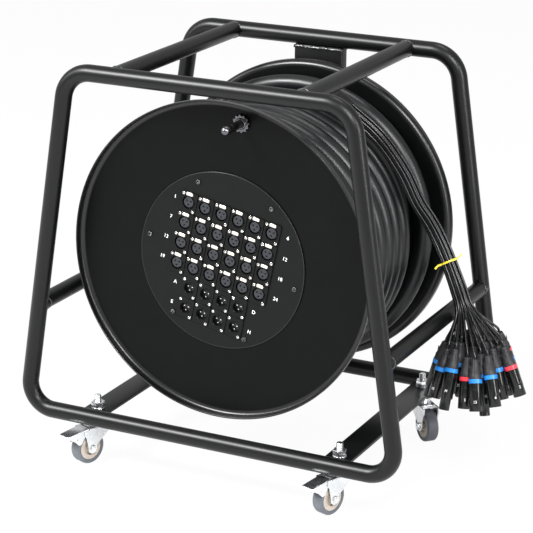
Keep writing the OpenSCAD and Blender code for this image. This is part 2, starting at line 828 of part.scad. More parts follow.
// Plain core under the winding, with a socket for each diving end
core_r = layer_r * cos(180 / rings_per_turn) - cable_d / 2 * cos(30) - 0.5;
socket_cable_d = cable_d + 1.4;
module end_socket(a, b, before, after) {
  dir = unit(b - a);
  rod(a - before * dir, b + after * dir, socket_cable_d);
}
module lower_layers() {
  n = len(WOUND);
  color([0.07, 0.07, 0.07])
    on_drum()
      difference() {
        ring_y(front_face_y + 0.4, rear_face_y - 0.4, 2 * core_r, barrel_d + 0.6);
        end_socket(WOUND[0], WOUND[2], 0, 3);
        end_socket(WOUND[2], WOUND[3], 3, 3);
        end_socket(WOUND[n - 1], WOUND[n - 3], 0, 3);
        end_socket(WOUND[n - 3], WOUND[n - 4], 3, 3);
        end_socket(WOUND[n - 4], WOUND[n - 5], 3, 3);
        translate([0, gland_y, -barrel_d / 2 - 16]) cylinder(h = 30, d = gland_d + 0.4);
      }
}
module winding() {
  color([0.1, 0.1, 0.11])
    on_drum()
      swept_tube(WOUND, cable_d / 2, 6, [0, 1, 0]);
}
// The inner end of the cable enters the barrel through a gland and splits to the sockets
module cable_gland() {
  color([0.12, 0.12, 0.12])
    on_drum()
      translate([0, gland_y, 0])
        difference() {
          union() {
            translate([0, 0, -barrel_d / 2 - 4]) cylinder(h = 22, d = gland_d);
            translate([0, 0, -barrel_d / 2 + barrel_wall + 2.4]) cylinder(h = 5, d = gland_d + 8);
          }
          translate([0, 0, -barrel_d / 2 - 5]) cylinder(h = 30, d = cable_d + 0.6);
        }
}
loom_d = 18;
loom_front_y = panel_front_y + panel_t + socket_depth + 0.3;
module wiring_loom() {
  color([0.16, 0.16, 0.17])
    on_drum() {
      translate([0, gland_y, -barrel_d / 2 - 3]) cylinder(h = 30, d = cable_d);
      translate([0, gland_y, -barrel_d / 2 + 26]) cylinder(h = barrel_d / 2 - 26, d = loom_d);
      translate([0, gland_y, 0]) sphere(d = loom_d);
      rod_y(loom_front_y, gland_y, loom_d);
      for (z = [-1, 0, 1])
        translate([-70, loom_front_y, z * socket_pitch_z - 11])
          cube([140, 8, 6]);
      translate([-3, loom_front_y, -42.6]) cube([6, 8, 72]);
    }
}

// Tails: a bundle over the winding and the right side tube, fanning out to the plugs.
// Points of the bundle's middle, from the breakout down to where it fans out
BUNDLE = [
  [113, 38, 533],
  [160, 44, 497],
  [196, 52, 450],
  [217, 60, 405],
  [236, 63, 376],
  [253, 61, 350],
  [271, 55, 321],
  [289, 48, 288],
  [303, 42, 258]
];
// Across the fan, to the right of the viewer, and away from the viewer
fan_right = [0.897, 0.442, 0];
fan_away = [-0.442, 0.897, 0];
// Middle of the plugs at the height of their rings, and the point they spread from
plug_middle = [320, 36, 191];
fan_apex = [317, 36, 342];
// Rows of plugs from the front, as the place of the first one and the number in the row
ROWS = [[0, 2], [-1.5, 5], [-2, 5], [-1.5, 5], [-2, 5], [-1.5, 5], [-1, 4], [0.5, 1]];
// How far each plug hangs below the highest, front row first
PLUG_DROPS = [
  14, 8,
  5, 17, 12, 4, 0,
  10, 2, 8, 0, 5,
  6, 15, 4, 10, 2,
  12, 4, 0, 14, 6,
  8, 15, 2, 10, 0,
  14, 5, 11, 3,
  7
];
PLACES = [
  for (k = [0 : len(ROWS) - 1])
    for (col = [0 : ROWS[k][1] - 1])
      [ROWS[k][0] + col, (k - 3.5) * sin(60)]
];
RETURN_TAILS = [2, 4, 9, 14, 17, 21, 25, 29];
RED_RINGS = [3, 6, 10, 18, 26];
function is_in(n, list) = len([for (x = list) if (x == n) x]) > 0;
function ring_point(n) = plug_middle + plug_pitch * (PLACES[n].x * fan_right + PLACES[n].y * fan_away);
function plug_dir(n) = unit(ring_point(n) - fan_apex);
function plug_top(n) = ring_point(n) + plug_dir(n) * (PLUG_DROPS[n] - ring_h / 2 - boot_len);
// The bundle loosens below the tie
function loose_pitch(i) = tail_pitch + (i < len(BUNDLE) - 2 ? 0 : i < len(BUNDLE) - 1 ? 0.3 : 1.2);
function bundle_point(n, i) = let (
  dir = path_dir(BUNDLE, i),
  u = side_dir(dir, fan_right),
  v = cross(u, dir)
) BUNDLE[i] + loose_pitch(i) * (PLACES[n].x * u + PLACES[n].y * v);
// The innermost tails come down outside the side tube before they turn in under it
tail_inner_x = side_x + tube_d / 2 + tail_d / 2 + 0.6;
under_tube_z = side_z - tube_d / 2;
function tail_path(n) = let (
  top = plug_top(n),
  entry = top - plug_dir(n) * 2 * tail_d,
  waist = bundle_point(n, len(BUNDLE) - 1),
  bend = mix(waist, entry, min(0.8, (waist.z - under_tube_z) / (waist.z - entry.z)))
) concat(
  [for (i = [0 : len(BUNDLE) - 1]) bundle_point(n, i)],
  [[max(bend.x, tail_inner_x), bend.y, bend.z], entry, top]
);
module tails(list) {
  for (n = list)
    swept_tube(tail_path(n), tail_d / 2, 8, fan_right);
}
ALL_TAILS = [0 : len(PLACES) - 1];
INPUT_TAILS = [for (n = ALL_TAILS) if (!is_in(n, RETURN_TAILS)) n];
module input_tails() { color([0.12, 0.12, 0.13]) tails(INPUT_TAILS); }
module return_tails() { color([0.12, 0.12, 0.13]) tails(RETURN_TAILS); }

bundle_d = 2 * (3.3 * tail_pitch + tail_d / 2);
winding_clear_r = layer_r + cable_d / 2 * cos(30) + 0.3;
module breakout() {
  dir = path_dir(BUNDLE, 0);
  mouth = BUNDLE[0];
  boot_back = mouth - dir * 46;
  stub_foot = [28, 36, axle_z + 196];
  color([0.08, 0.08, 0.08])
    difference() {
      union() {
        rod(boot_back, mouth, bundle_d + 2);
        rod(stub_foot, boot_back + 6 * dir, cable_d);
        translate(boot_back) sphere(d = cable_d + 1);
      }
      translate([0, 0, axle_z]) rod_y(-40, 100, 2 * winding_clear_r);
    }
}
tie_at = 6;
module tail_tie() {
  dir = path_dir(BUNDLE, tie_at);
  color([0.95, 0.85, 0.25])
    aim(BUNDLE[tie_at], dir) {
      difference() {
        cylinder(h = 3, d = bundle_d + 3.4, center = true);
        cylinder(h = 5, d = bundle_d + 0.6, center = true);
      }
      rotate([0, 0, 150])
        translate([bundle_d / 2 + 0.8, -2, -1.5]) cube([9, 4, 3]);
    }
}

// Plugs hang along the fan, each with a boot, a colour ring and a body
module at_plug(n) {
  aim(plug_top(n), plug_dir(n)) children();
}
module plug_boots() {
  color([0.22, 0.22, 0.23])
    for (n = ALL_TAILS)
      at_plug(n) {
        cylinder(h = boot_len - 8, d1 = boot_tip_d, d2 = boot_d);
        translate([0, 0, boot_len - 8]) cylinder(h = 8, d = boot_d);
      }
}
module colour_rings(list) {
  for (n = list)
    at_plug(n)
      translate([0, 0, boot_len]) cylinder(h = ring_h, d = ring_d);
}
module blue_rings() { color([0.1, 0.5, 0.85]) colour_rings([for (n = ALL_TAILS) if (!is_in(n, RED_RINGS)) n]); }
module red_rings() { color([0.85, 0.25, 0.3]) colour_rings(RED_RINGS); }
plug_start = boot_len + ring_h;
plug_recess = 3.9;
module at_plug_contacts() {
  for (c = CONTACTS)
    translate([c.x, c.y, 0])
      children();
}
module input_plugs() {
  color([0.07, 0.07, 0.07])
    for (n = INPUT_TAILS)
      at_plug(n)
        translate([0, 0, plug_start]) {
          difference() {
            cylinder(h = plug_len + 2, d = plug_d);
            translate([0, 0, plug_len + 2 - plug_recess]) cylinder(h = plug_recess + 1, d = plug_d - 2.6);
          }
          at_plug_contacts()
            translate([0, 0, plug_len - plug_recess]) cylinder(h = plug_recess + 1, d = contact_pin_d);
        }
}
module return_plugs() {
  color([0.07, 0.07, 0.07])
    for (n = RETURN_TAILS)
      at_plug(n)
        translate([0, 0, plug_start]) {
          cylinder(h = plug_len, d = plug_d);
          difference() {
            translate([0, 0, plug_len - 1]) cylinder(h = nose_len + 1, d = nose_d);
            at_plug_contacts()
              translate([0, 0, plug_len + nose_len - 12]) cylinder(h = 13, d = contact_pin_d + 0.2);
          }
        }
}

front_hoop();
rear_hoop();
top_tube_left();
top_tube_right();
side_tube_left();
side_tube_right();
base_bar_left();
base_bar_right();
rear_post();
spindle();
spindle_nut();
caster_stems();
stem_nuts();
fork(FRONT_LEFT);  // fork_front_left
fork(FRONT_RIGHT);  // fork_front_right
fork(REAR_LEFT);  // fork_rear_left
fork(REAR_RIGHT);  // fork_rear_right
caster_axle(FRONT_LEFT);  // axle_front_left
caster_axle(FRONT_RIGHT);  // axle_front_right
caster_axle(REAR_LEFT);  // axle_rear_left
caster_axle(REAR_RIGHT);  // axle_rear_right
caster_wheel(FRONT_LEFT);  // wheel_front_left
caster_wheel(FRONT_RIGHT);  // wheel_front_right
caster_wheel(REAR_LEFT);  // wheel_rear_left
caster_wheel(REAR_RIGHT);  // wheel_rear_right
caster_tyre(FRONT_LEFT);  // tyre_front_left
caster_tyre(FRONT_RIGHT);  // tyre_front_right
caster_tyre(REAR_LEFT);  // tyre_rear_left
caster_tyre(REAR_RIGHT);  // tyre_rear_right
brake_pedal(FRONT_LEFT);  // brake_pedal_left
brake_pedal(FRONT_RIGHT);  // brake_pedal_right
front_flange();
rear_flange();
barrel();
hub();
hub_bearings();
connector_panel();
panel_screws();
input_sockets();
input_inserts();
input_latches();
return_sockets();
return_pins();
socket_screws();
crank_pin();
crank_nut();
crank_sleeve();
lower_layers();
winding();
cable_gland();
wiring_loom();
breakout();
input_tails();
return_tails();
tail_tie();
plug_boots();
blue_rings();
red_rings();
input_plugs();
return_plugs();
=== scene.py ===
# %% [markdown]
# # A multicore cable drum
# A steel drum of thick cable turns in a frame of bent tube on four castors. The exact parts come from
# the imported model. Here each piece is modelled again with the edges, ribs, screws and finish of the
# real one, and rides on its body.

# %% Load the frame
import bpy
import math
import random
from mathutils import Matrix, Vector


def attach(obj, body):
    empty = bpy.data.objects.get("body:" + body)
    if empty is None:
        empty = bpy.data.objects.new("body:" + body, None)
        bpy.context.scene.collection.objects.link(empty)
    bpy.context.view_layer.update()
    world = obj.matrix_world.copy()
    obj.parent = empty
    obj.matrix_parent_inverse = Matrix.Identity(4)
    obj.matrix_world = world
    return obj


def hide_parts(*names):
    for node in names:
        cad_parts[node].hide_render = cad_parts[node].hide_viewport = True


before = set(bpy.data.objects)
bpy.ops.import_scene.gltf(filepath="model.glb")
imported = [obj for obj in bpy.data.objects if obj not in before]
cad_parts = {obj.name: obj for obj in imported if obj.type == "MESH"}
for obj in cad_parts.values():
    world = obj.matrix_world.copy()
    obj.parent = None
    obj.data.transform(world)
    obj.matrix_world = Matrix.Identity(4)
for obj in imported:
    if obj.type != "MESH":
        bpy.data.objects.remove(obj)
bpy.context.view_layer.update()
random.seed(7)

# %% [markdown]
# The camera was solved from the two hoops of the frame, which are equal and parallel. A long lens far
# away keeps the drum's flange nearly round, so the camera is placed by numbers and not by eye.

# %% Camera
azimuth, elevation, roll = (math.radians(angle) for angle in (26.19, 18.09, 0.57))
CAMERA_AT = (1.32339, -2.68207, 1.2662)
LENS, SENSOR, FAR = 142.6, 36, 60    # focal length and sensor in millimetres, far clip in metres
aside, ahead = math.sin(azimuth), math.cos(azimuth)
back = Vector((aside * math.cos(elevation), -ahead * math.cos(elevation), math.sin(elevation)))
level = Vector((ahead, aside, 0))
upward = back.cross(level)
right = level * math.cos(roll) + upward * math.sin(roll)
top = upward * math.cos(roll) - level * math.sin(roll)
bpy.ops.object.camera_add()
camera = bpy.context.object
camera.matrix_world = Matrix.Translation(CAMERA_AT) @ Matrix((right, top, back)).transposed().to_4x4()
camera.data.lens, camera.data.sensor_width, camera.data.clip_end = LENS, SENSOR, FAR
bpy.context.scene.camera = camera
print("camera at", [round(x, 3) for x in camera.location])

# %% [markdown]
# Sizes are written in millimetres, as on the drawing, so pieces are built at one unit per millimetre.
# When a piece is finished, its mesh is scaled to metres and the object itself stays at the origin.

# %% Helpers that put a piece in its place
MM = Matrix.Scale(0.001, 4)


def clear_selection():
    if bpy.context.object and bpy.context.object.mode != "OBJECT":
        bpy.ops.object.mode_set(mode="OBJECT")
    bpy.ops.object.select_all(action="DESELECT")


def only(obj):
    clear_selection()
    obj.select_set(True)
    bpy.context.view_layer.objects.active = obj
    return obj


def moved(obj, *steps):
    for step in steps:
        obj.data.transform(step)
    obj.data.update()
    return obj


def shift(x, y, z):
    return Matrix.Translation((x, y, z))


def turn(degrees, axis):
    return Matrix.Rotation(math.radians(degrees), 4, axis)


def settle(obj, name, body, finish, nodes=()):
    """Makes a shape a finished piece: named, in metres, in one finish, and riding on its body."""
    obj.name = name
    obj.data.transform(MM)
    obj.data.materials.clear()
    obj.data.materials.append(finish)
    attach(obj, body)
    if nodes:
        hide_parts(*nodes)
    return obj


print("placing helpers ready")


# %% Helpers that finish and repeat a shape
def smooth(obj, angle=35):
    only(obj)
    bpy.ops.object.shade_smooth_by_angle(angle=math.radians(angle))
    return obj


def modify(obj, kind, **settings):
    only(obj)
    modifier = obj.modifiers.new(kind.title(), kind)
    for key, value in settings.items():
        setattr(modifier, key, value)
    bpy.ops.object.modifier_apply(modifier=modifier.name)
    return obj


def select_mesh():
    bpy.ops.object.mode_set(mode="EDIT")
    bpy.ops.mesh.select_all(action="SELECT")


def faces_out(obj):
    """Recalculates the normals, which a mirror turns inside out."""
    only(obj)
    select_mesh()
    bpy.ops.mesh.normals_make_consistent(inside=False)
    bpy.ops.object.mode_set(mode="OBJECT")
    return obj


def joined(parts):
    only(parts[0])
    for part in parts:
        part.select_set(True)
    if len(parts) > 1:
        bpy.ops.object.join()
    return bpy.context.object


def twin_of(obj):
    """A copy that has its own mesh."""
    twin = obj.copy()
    twin.data = obj.data.copy()
    bpy.context.scene.collection.objects.link(twin)
    return twin


def copies(obj, places):
    """One mesh with a copy of the shape at each place."""
    made = [moved(twin_of(obj), place) for place in places]
    bpy.data.objects.remove(obj)
    return joined(made)


print("shape helpers ready")

# %% [markdown]
# A few driving sizes place nearly everything else: the two hoops, which narrow toward the top, the
# tubes across them, and the drum's axle. The drum stands turned a little, as it was left.

# %% Driving sizes
TUBE_D, HOOP_H, FOOT_W, HEAD_W, BASE_Z, HOOP_Y = 25, 522, 602, 442, 79, 188
TUBE_R = TUBE_D / 2
HOOP_TOP = BASE_Z + HOOP_H + TUBE_R
SLOPE = (FOOT_W - HEAD_W) / 2 / HOOP_H
SIDE_UP = 165    # the side tubes' height above the hoops' feet
SIDE_X, SIDE_Z = FOOT_W / 2 - SIDE_UP * SLOPE, BASE_Z + SIDE_UP
AXLE_Z, DRUM_TURN = 337, 11.8
DRUM = shift(0, 0, AXLE_Z) @ turn(DRUM_TURN, "Y")
UPRIGHT = turn(90, "X")    # a plate drawn flat stands up and faces the front
LYING = turn(90, "X")    # a lathe's axis, +Y, points up
print("hoops:", FOOT_W, "mm wide at the foot, axle", AXLE_Z, "mm up")

# %% [markdown]
# A material's arithmetic reads best as arithmetic. Wire wraps an output socket, so that 0.2 + mask * 3
# adds its Math nodes, and Finish makes every other node with one method.

# %% Shader maths
MIX_FACTOR, MIX_DARK, MIX_LIGHT, MIX_RESULT = 0, 6, 7, 2    # where a colour Mix node has its sockets


def feed(tree, value, socket):
    """Links a wire to a socket, or writes a plain value in it."""
    if isinstance(value, Wire):
        tree.links.new(value.socket, socket)
    else:
        socket.default_value = value


class Wire:
    def __init__(self, tree, socket):
        self.tree, self.socket = tree, socket

    def math(self, operation, a, b):
        node = self.tree.nodes.new("ShaderNodeMath")
        node.operation = operation
        feed(self.tree, a, node.inputs[0])
        feed(self.tree, b, node.inputs[1])
        return Wire(self.tree, node.outputs[0])

    def __add__(self, other):
        return self.math("ADD", self, other)

    __radd__ = __add__

    def __mul__(self, other):
        return self.math("MULTIPLY", self, other)

    __rmul__ = __mul__


class Finish:
    def __init__(self, name, color, roughness, metallic=0.0, specular=0.5, coat_roughness=0.1):
        self.material = bpy.data.materials.new(name)
        self.material.use_nodes = True
        self.tree = self.material.node_tree
        self.shader = self.tree.nodes["Principled BSDF"]
        for socket, value in (("Base Color", (*color, 1)), ("Roughness", roughness), ("Metallic", metallic),
                              ("Specular IOR Level", specular), ("Coat Roughness", coat_roughness)):
            self.set(socket, value)
        self.place = self.node("ShaderNodeTexCoord", out="Object")

    def set(self, socket, value):
        feed(self.tree, value, self.shader.inputs[socket])

    def node(self, kind, settings=None, out=0, **values):
        node = self.tree.nodes.new(kind)
        for key, value in (settings or {}).items():
            setattr(node, key, value)
        for key, value in values.items():
            feed(self.tree, value, node.inputs[key.replace("_", " ")])
        return Wire(self.tree, node.outputs[out])

    def noise(self, scale, detail):
        return self.node("ShaderNodeTexNoise", Vector=self.place, Scale=scale, Detail=detail)

    def bump(self, height, strength, distance):
        self.set("Normal", self.node("ShaderNodeBump", Height=height, Strength=strength, Distance=distance))

    def tint(self, mask, dark, light):
        """Runs the base colour from dark to light with the mask."""
        mix = self.node("ShaderNodeMix", {"data_type": "RGBA"}).socket.node
        for index, value in ((MIX_FACTOR, mask), (MIX_DARK, (*dark, 1)), (MIX_LIGHT, (*light, 1))):
            feed(self.tree, value, mix.inputs[index])
        self.set("Base Color", Wire(self.tree, mix.outputs[MIX_RESULT]))


def shaded(color, *shares):
    """The colour, darker or lighter by a share, or by one share for each channel."""
    return tuple(c * share for c, share in zip(color, shares if len(shares) == 3 else shares * 3))


print("shader maths ready")

# %% [markdown]
# The frame is powder coated: a satin black with a fine orange peel and soft clouds in its gloss. The
# drum's sheet has the same coat with long soft waves, and the edges of its discs are worn shiny.

# %% Black coats
FLANGE_EDGE = (0.2262, 0.2285, 0.7)    # metres from the axle to where the shine starts and is full, its weight
PANEL_EDGE = (0.1299, 0.1306, 1.0)


def coat(name, shade, roughness, peel, waves=0.0, specular=0.3, edge=None):
    black = (shade, shade, shade)
    finish = Finish(name, black, roughness, specular=specular, coat_roughness=0.3)
    if edge:
        start, full, weight = edge
        centre = (0, 0, -AXLE_Z / 1000)
        spot = finish.node("ShaderNodeMapping", Vector=finish.place, Location=centre, Scale=(1, 0, 1))
        radius = finish.node("ShaderNodeVectorMath", {"operation": "LENGTH"}, out="Value", Vector=spot)
        worn = finish.node("ShaderNodeMapRange", Value=radius, From_Min=start, From_Max=full)
        finish.set("Coat Weight", worn * weight)
    grain, broad = finish.noise(700, 2.0), finish.noise(14, 3.0)
    finish.set("Roughness", roughness - 0.05 + broad * 0.1)
    finish.tint(finish.noise(40, 4.0), shaded(black, 0.7, 0.8, 0.8), shaded(black, 1.15, 1.25, 1.25))
    finish.bump(grain + broad * waves, peel, 0.0004)
    return finish.material


frame_coat = coat("frame_coat", 0.002, 0.35, 0.07, specular=0.29)
bar_coat = coat("bar_coat", 0.003, 0.3, 0.1, specular=0.3)
drum_coat = coat("drum_coat", 0.002, 0.33, 0.06, 0.4, specular=0.09, edge=FLANGE_EDGE)
panel_coat = coat("panel_coat", 0.0045, 0.4, 0.1, specular=0.12, edge=PANEL_EDGE)
weld_coat = coat("weld_coat", 0.01, 0.24, 0.4, specular=0.9)
connector_coat = coat("connector_coat", 0.003, 0.25, 0.06, specular=0.14)
plug_coat = coat("plug_coat", 0.003, 0.18, 0.05, specular=0.4)
print("black coats ready")

# %% [markdown]
# Zinc plate on the castors and nuts is bright but not a mirror. Faint clouds in its roughness and
# colour keep the pressed sheet from looking like plastic.

# %% Bright metals
def plated(name, color, roughness, cloud):
    finish = Finish(name, color, roughness, metallic=1.0)
    finish.set("Roughness", roughness + finish.noise(120, 5.0) * cloud)
    finish.tint(finish.noise(60, 4.0), shaded(color, 0.85), color)
    finish.bump(finish.noise(500, 3.0), 0.06, 0.0003)
    return finish.material


zinc = plated("zinc_plate", (0.84, 0.86, 0.88), 0.16, 0.2)
nickel = plated("nickel_plate", (0.86, 0.85, 0.82), 0.14, 0.1)
latch_nickel = plated("latch_nickel", (0.86, 0.82, 0.74), 0.3, 0.1)
black_zinc = plated("black_zinc", (0.14, 0.14, 0.15), 0.2, 0.12)
ground_steel = plated("ground_steel", (0.6, 0.61, 0.62), 0.28, 0.1)
print("bright metals ready")

# %% [markdown]
# Rubber and cable sheath are dull blacks that still catch a soft line of light. Fine grain and faint
# clouds keep them, and the coloured plastics, from looking like glass.

# %% Plastics and rubber
def moulded(name, color, roughness, grain=0.05, specular=0.5):
    finish = Finish(name, color, roughness, specular=specular)
    finish.set("Roughness", roughness - 0.06 + finish.noise(35, 4.0) * 0.12)
    finish.tint(finish.noise(80, 4.0), shaded(color, 0.85), shaded(color, 1.12))
    finish.bump(finish.noise(600, 3.0), grain, 0.0003)
    return finish.material


sheath = moulded("cable_sheath", (0.004, 0.0045, 0.005), 0.35, 0.02, specular=0.4)
tail_sheath = moulded("tail_sheath", (0.004, 0.004, 0.0045), 0.24, 0.003, specular=0.5)
boot_rubber = moulded("boot_rubber", (0.024, 0.024, 0.026), 0.45, 0.1, specular=0.3)
grip_plastic = moulded("grip_plastic", (0.004, 0.004, 0.004), 0.22, 0.03, specular=0.4)
insert_plastic = moulded("insert_plastic", (0.02, 0.022, 0.026), 0.4, specular=0.3)
shrink_sleeve = moulded("shrink_sleeve", (0.008, 0.008, 0.008), 0.42, 0.2, specular=0.3)
blue_plastic = moulded("blue_plastic", (0.015, 0.2, 0.62), 0.3)
red_plastic = moulded("red_plastic", (0.75, 0.04, 0.06), 0.3)
yellow_plastic = moulded("yellow_plastic", (0.85, 0.66, 0.04), 0.35)
white_print = moulded("white_print", (0.8, 0.8, 0.8), 0.5, 0.02)
tyre_rubber = moulded("tyre_rubber", (0.095, 0.105, 0.12), 0.55, 0.15)
wheel_plastic = moulded("wheel_plastic", (0.4, 0.35, 0.3), 0.4, 0.06)
print("finishes:", len(bpy.data.materials))

# %% [markdown]
# Three ways of making a shape carry most of this object. A tube follows points; a lathe turns a
# profile about the Y axis; a plate is a flat outline with holes, given thickness and soft edges.

# %% Tube and plate
def drawn(dimensions, lines, cyclic):
    """A curve object of straight runs through the points of each line."""
    curve = bpy.data.curves.new("line", "CURVE")
    curve.dimensions = dimensions
    for line in lines:
        spline = curve.splines.new("POLY")
        spline.points.add(len(line) - 1)
        for spot, point in zip(spline.points, line):
            spot.co = (*point, 1) if dimensions == "3D" else (*point, 0, 1)
        spline.use_cyclic_u = cyclic
    obj = bpy.data.objects.new("line", curve)
    bpy.context.scene.collection.objects.link(obj)
    return obj


def as_mesh(obj, angle):
    only(obj)
    bpy.ops.object.convert(target="MESH")
    return smooth(bpy.context.object, angle)


def tube(points, diameter, sides=8, cyclic=False, radii=None):
    obj = drawn("3D", [points], cyclic)
    for spot, radius in zip(obj.data.splines[0].points, radii or [1] * len(points)):
        spot.radius = radius
    obj.data.bevel_depth, obj.data.bevel_resolution = diameter / 2, sides
    obj.data.use_fill_caps = not cyclic
    return as_mesh(obj, 40)


def plate(outlines, thickness, edge=0.3, angle=35):
    obj = drawn("2D", outlines, True)
    obj.data.fill_mode, obj.data.extrude, obj.data.offset = "BOTH", thickness / 2 - edge, -edge
    obj.data.bevel_depth, obj.data.bevel_resolution = edge, 2
    return as_mesh(obj, angle)


def facing(outlines, thickness, edge, y):
    """A plate that faces the front, its middle at y."""
    return moved(plate(outlines, thickness, edge), UPRIGHT, shift(0, y, 0))


print("tube and plate ready")


# %% Lathe and slab
def lathe(profile, steps=72, closed=False, angle=35):
    clear_selection()
    bpy.ops.mesh.primitive_plane_add(size=1)
    select_mesh()
    bpy.ops.mesh.merge(type="CENTER")
    bpy.ops.transform.translate(value=(*profile[0], 0))
    ends = profile + ([profile[0]] if closed else [])
    for a, b in zip(ends, ends[1:]):
        bpy.ops.mesh.extrude_region_move(TRANSFORM_OT_translate={"value": (b[0] - a[0], b[1] - a[1], 0)})
    select_mesh()
    bpy.ops.mesh.spin(steps=steps, angle=math.tau, center=(0, 0, 0), axis=(0, 1, 0))
    select_mesh()
    bpy.ops.mesh.remove_doubles(threshold=0.002)
    return smooth(faces_out(bpy.context.object), angle)


def slab(size, at=(0, 0, 0), edge=0.5, segments=3):
    clear_selection()
    bpy.ops.mesh.primitive_cube_add(size=1, location=at)
    obj = bpy.context.object
    obj.scale = size
    bpy.ops.object.transform_apply(location=True, rotation=True, scale=True)
    modify(obj, "BEVEL", width=edge, segments=segments, limit_method="NONE")
    return smooth(obj)


print("lathe and slab ready")


# %% Outlines
def arc(cx, cy, r, start, end, n=8):
    angles = [math.radians(start + (end - start) * i / n) for i in range(n + 1)]
    return [(cx + r * math.cos(a), cy + r * math.sin(a)) for a in angles]


def ring(cx, cy, r, n=40):
    return arc(cx, cy, r, 0, 360 * (n - 1) / n, n - 1)


def hexagon(r):
    return ring(0, 0, r, 6)


def round_rect(w, h, r, cx=0, cy=0):
    x, y = w / 2 - r, h / 2 - r
    corners = [(x, y, 0), (-x, y, 90), (-x, -y, 180), (x, -y, 270)]
    return [p for dx, dy, a in corners for p in arc(cx + dx, cy + dy, r, a, a + 90, 5)]


print("outlines ready")

# %% [markdown]
# The tails leave the breakout as one bundle, run down over the winding, and fan out under the tie to
# the plugs. They are limp, so the route only bends gently. The points are those of the drawing, and a
# smooth curve through them stays inside the drawing's own tubes.

# %% Where the tails and plugs hang
TAIL_D, TAIL_PITCH, PLUG_PITCH = 3.8, 4.2, 21
BUNDLE = [Vector(p) for p in (
    (113, 38, 533), (160, 44, 497), (196, 52, 450), (217, 60, 405), (236, 63, 376),
    (253, 61, 350), (271, 55, 321), (289, 48, 288), (303, 42, 258))]
WAIST = len(BUNDLE) - 1    # where the bundle opens into the fan
OPENING = {WAIST - 1: 0.3, WAIST: 1.2}    # how much wider apart the tails run there
FAN_RIGHT, FAN_AWAY = Vector((0.897, 0.442, 0)), Vector((-0.442, 0.897, 0))
PLUG_MIDDLE, FAN_APEX = Vector((320, 36, 191)), Vector((317, 36, 342))
ROWS = [(0, 2), (-1.5, 5), (-2, 5), (-1.5, 5), (-2, 5), (-1.5, 5), (-1, 4), (0.5, 1)]    # first place, how many
ROW_PITCH = math.sin(math.radians(60))
PLACES = [(first + i, (k - 3.5) * ROW_PITCH) for k, (first, count) in enumerate(ROWS) for i in range(count)]
DROPS = [14, 8, 5, 17, 12, 4, 0, 10, 2, 8, 0, 5, 6, 15, 4, 10,
         2, 12, 4, 0, 14, 6, 8, 15, 2, 10, 0, 14, 5, 11, 3, 7]    # how much lower each plug hangs
RETURNS = {2, 4, 9, 14, 17, 21, 25, 29}
PLUGS = range(len(PLACES))
INPUT_PLUGS = [n for n in PLUGS if n not in RETURNS]
RED = {3, 6, 10, 18, 26}
RING_DOWN = 31    # from a boot's top to the middle of its ring
print("tails:", len(PLACES), "of which returns:", len(RETURNS))

# %% [markdown]
# A tail keeps its place in the bundle down to the waist, clears the side tube, and ends in a short
# straight stretch that enters its boot.

# %% Routes of the tails
LEAN_X = SIDE_X + TUBE_R + TAIL_D / 2 + 0.6    # a tail's middle may come no nearer to the side tube
ENTRY, INTO_PLUG = 7.6, 18    # straight above the boot, and on inside a female plug


def ring_point(n):
    return PLUG_MIDDLE + PLUG_PITCH * (PLACES[n][0] * FAN_RIGHT + PLACES[n][1] * FAN_AWAY)


def plug_dir(n):
    return (ring_point(n) - FAN_APEX).normalized()


def plug_top(n):
    return ring_point(n) + plug_dir(n) * (DROPS[n] - RING_DOWN)


def bundle_point(n, i):
    along = (BUNDLE[min(i + 1, WAIST)] - BUNDLE[max(i - 1, 0)]).normalized()
    across = (FAN_RIGHT - FAN_RIGHT.dot(along) * along).normalized()
    pitch = TAIL_PITCH + OPENING.get(i, 0)
    return BUNDLE[i] + pitch * (PLACES[n][0] * across + PLACES[n][1] * across.cross(along))


def tail_route(n):
    top, waist = plug_top(n), bundle_point(n, WAIST)
    entry = top - plug_dir(n) * ENTRY
    bend = waist.lerp(entry, min(0.8, (waist.z - (SIDE_Z - TUBE_R)) / (waist.z - entry.z)))
    bend.x = max(bend.x, LEAN_X)
    return [bundle_point(n, i) for i in range(len(BUNDLE))] + [bend, entry, top]


def eased(points, steps):
    """A smooth curve through all the points."""
    ends = [2 * points[0] - points[1]] + points + [2 * points[-1] - points[-2]]
    line = []
    for a, b, c, d in zip(ends, ends[1:], ends[2:], ends[3:]):
        for t in [i / steps for i in range(steps)]:
            slope, bow, twist = c - a, 2 * a - 5 * b + 4 * c - d, 3 * b - a - 3 * c + d
            line.append(0.5 * (2 * b + slope * t + bow * t**2 + twist * t**3))
    return line + [points[-1]]


def line_length(points):
    return sum((b - a).length for a, b in zip(points, points[1:]))


tail_routes = [eased(tail_route(n), 6) for n in PLUGS]
for n in RETURNS:
    tail_routes[n].append(plug_top(n) + plug_dir(n) * INTO_PLUG)
print("tails from", round(min(map(line_length, tail_routes))), "to", round(max(map(line_length, tail_routes))), "mm")

# %% [markdown]
# Each tail is its own cord with its real length. It starts at the breakout and ends in a plug.

# %% Tails
tails = []
for n, route in enumerate(tail_routes):
    kind = "return" if n in RETURNS else "input"
    tail = tube(route, TAIL_D, sides=4)
    tails.append(settle(tail, f"{kind}_tail_{n + 1}", "frame", tail_sheath, [kind + "_tails"]))
print("tails:", len(tails))

# %% [markdown]
# The winding is one cable of 27 mm: seven close turns, a crossing, and a last turn one layer higher
# near the rear flange. Both ends dive into the layers below.

# %% Outer turns
CABLE_D, LAYER_R, LAST_R, LAST_Y = 27, 191.5, 206.5, 118
FIRST_Y, PITCH, TURNS, CROSSING = -119.1, 27.6, 7, 0.375
START, END, DIVE_AT, WOUND_STEPS = -0.08, 8.04, 7.958, 640    # in turns, and the points along the cable
DIVE_RATE, DIVE_DEPTH, DIVE_POWER = 24, 3.12, 2.2    # how an end sinks below its layer


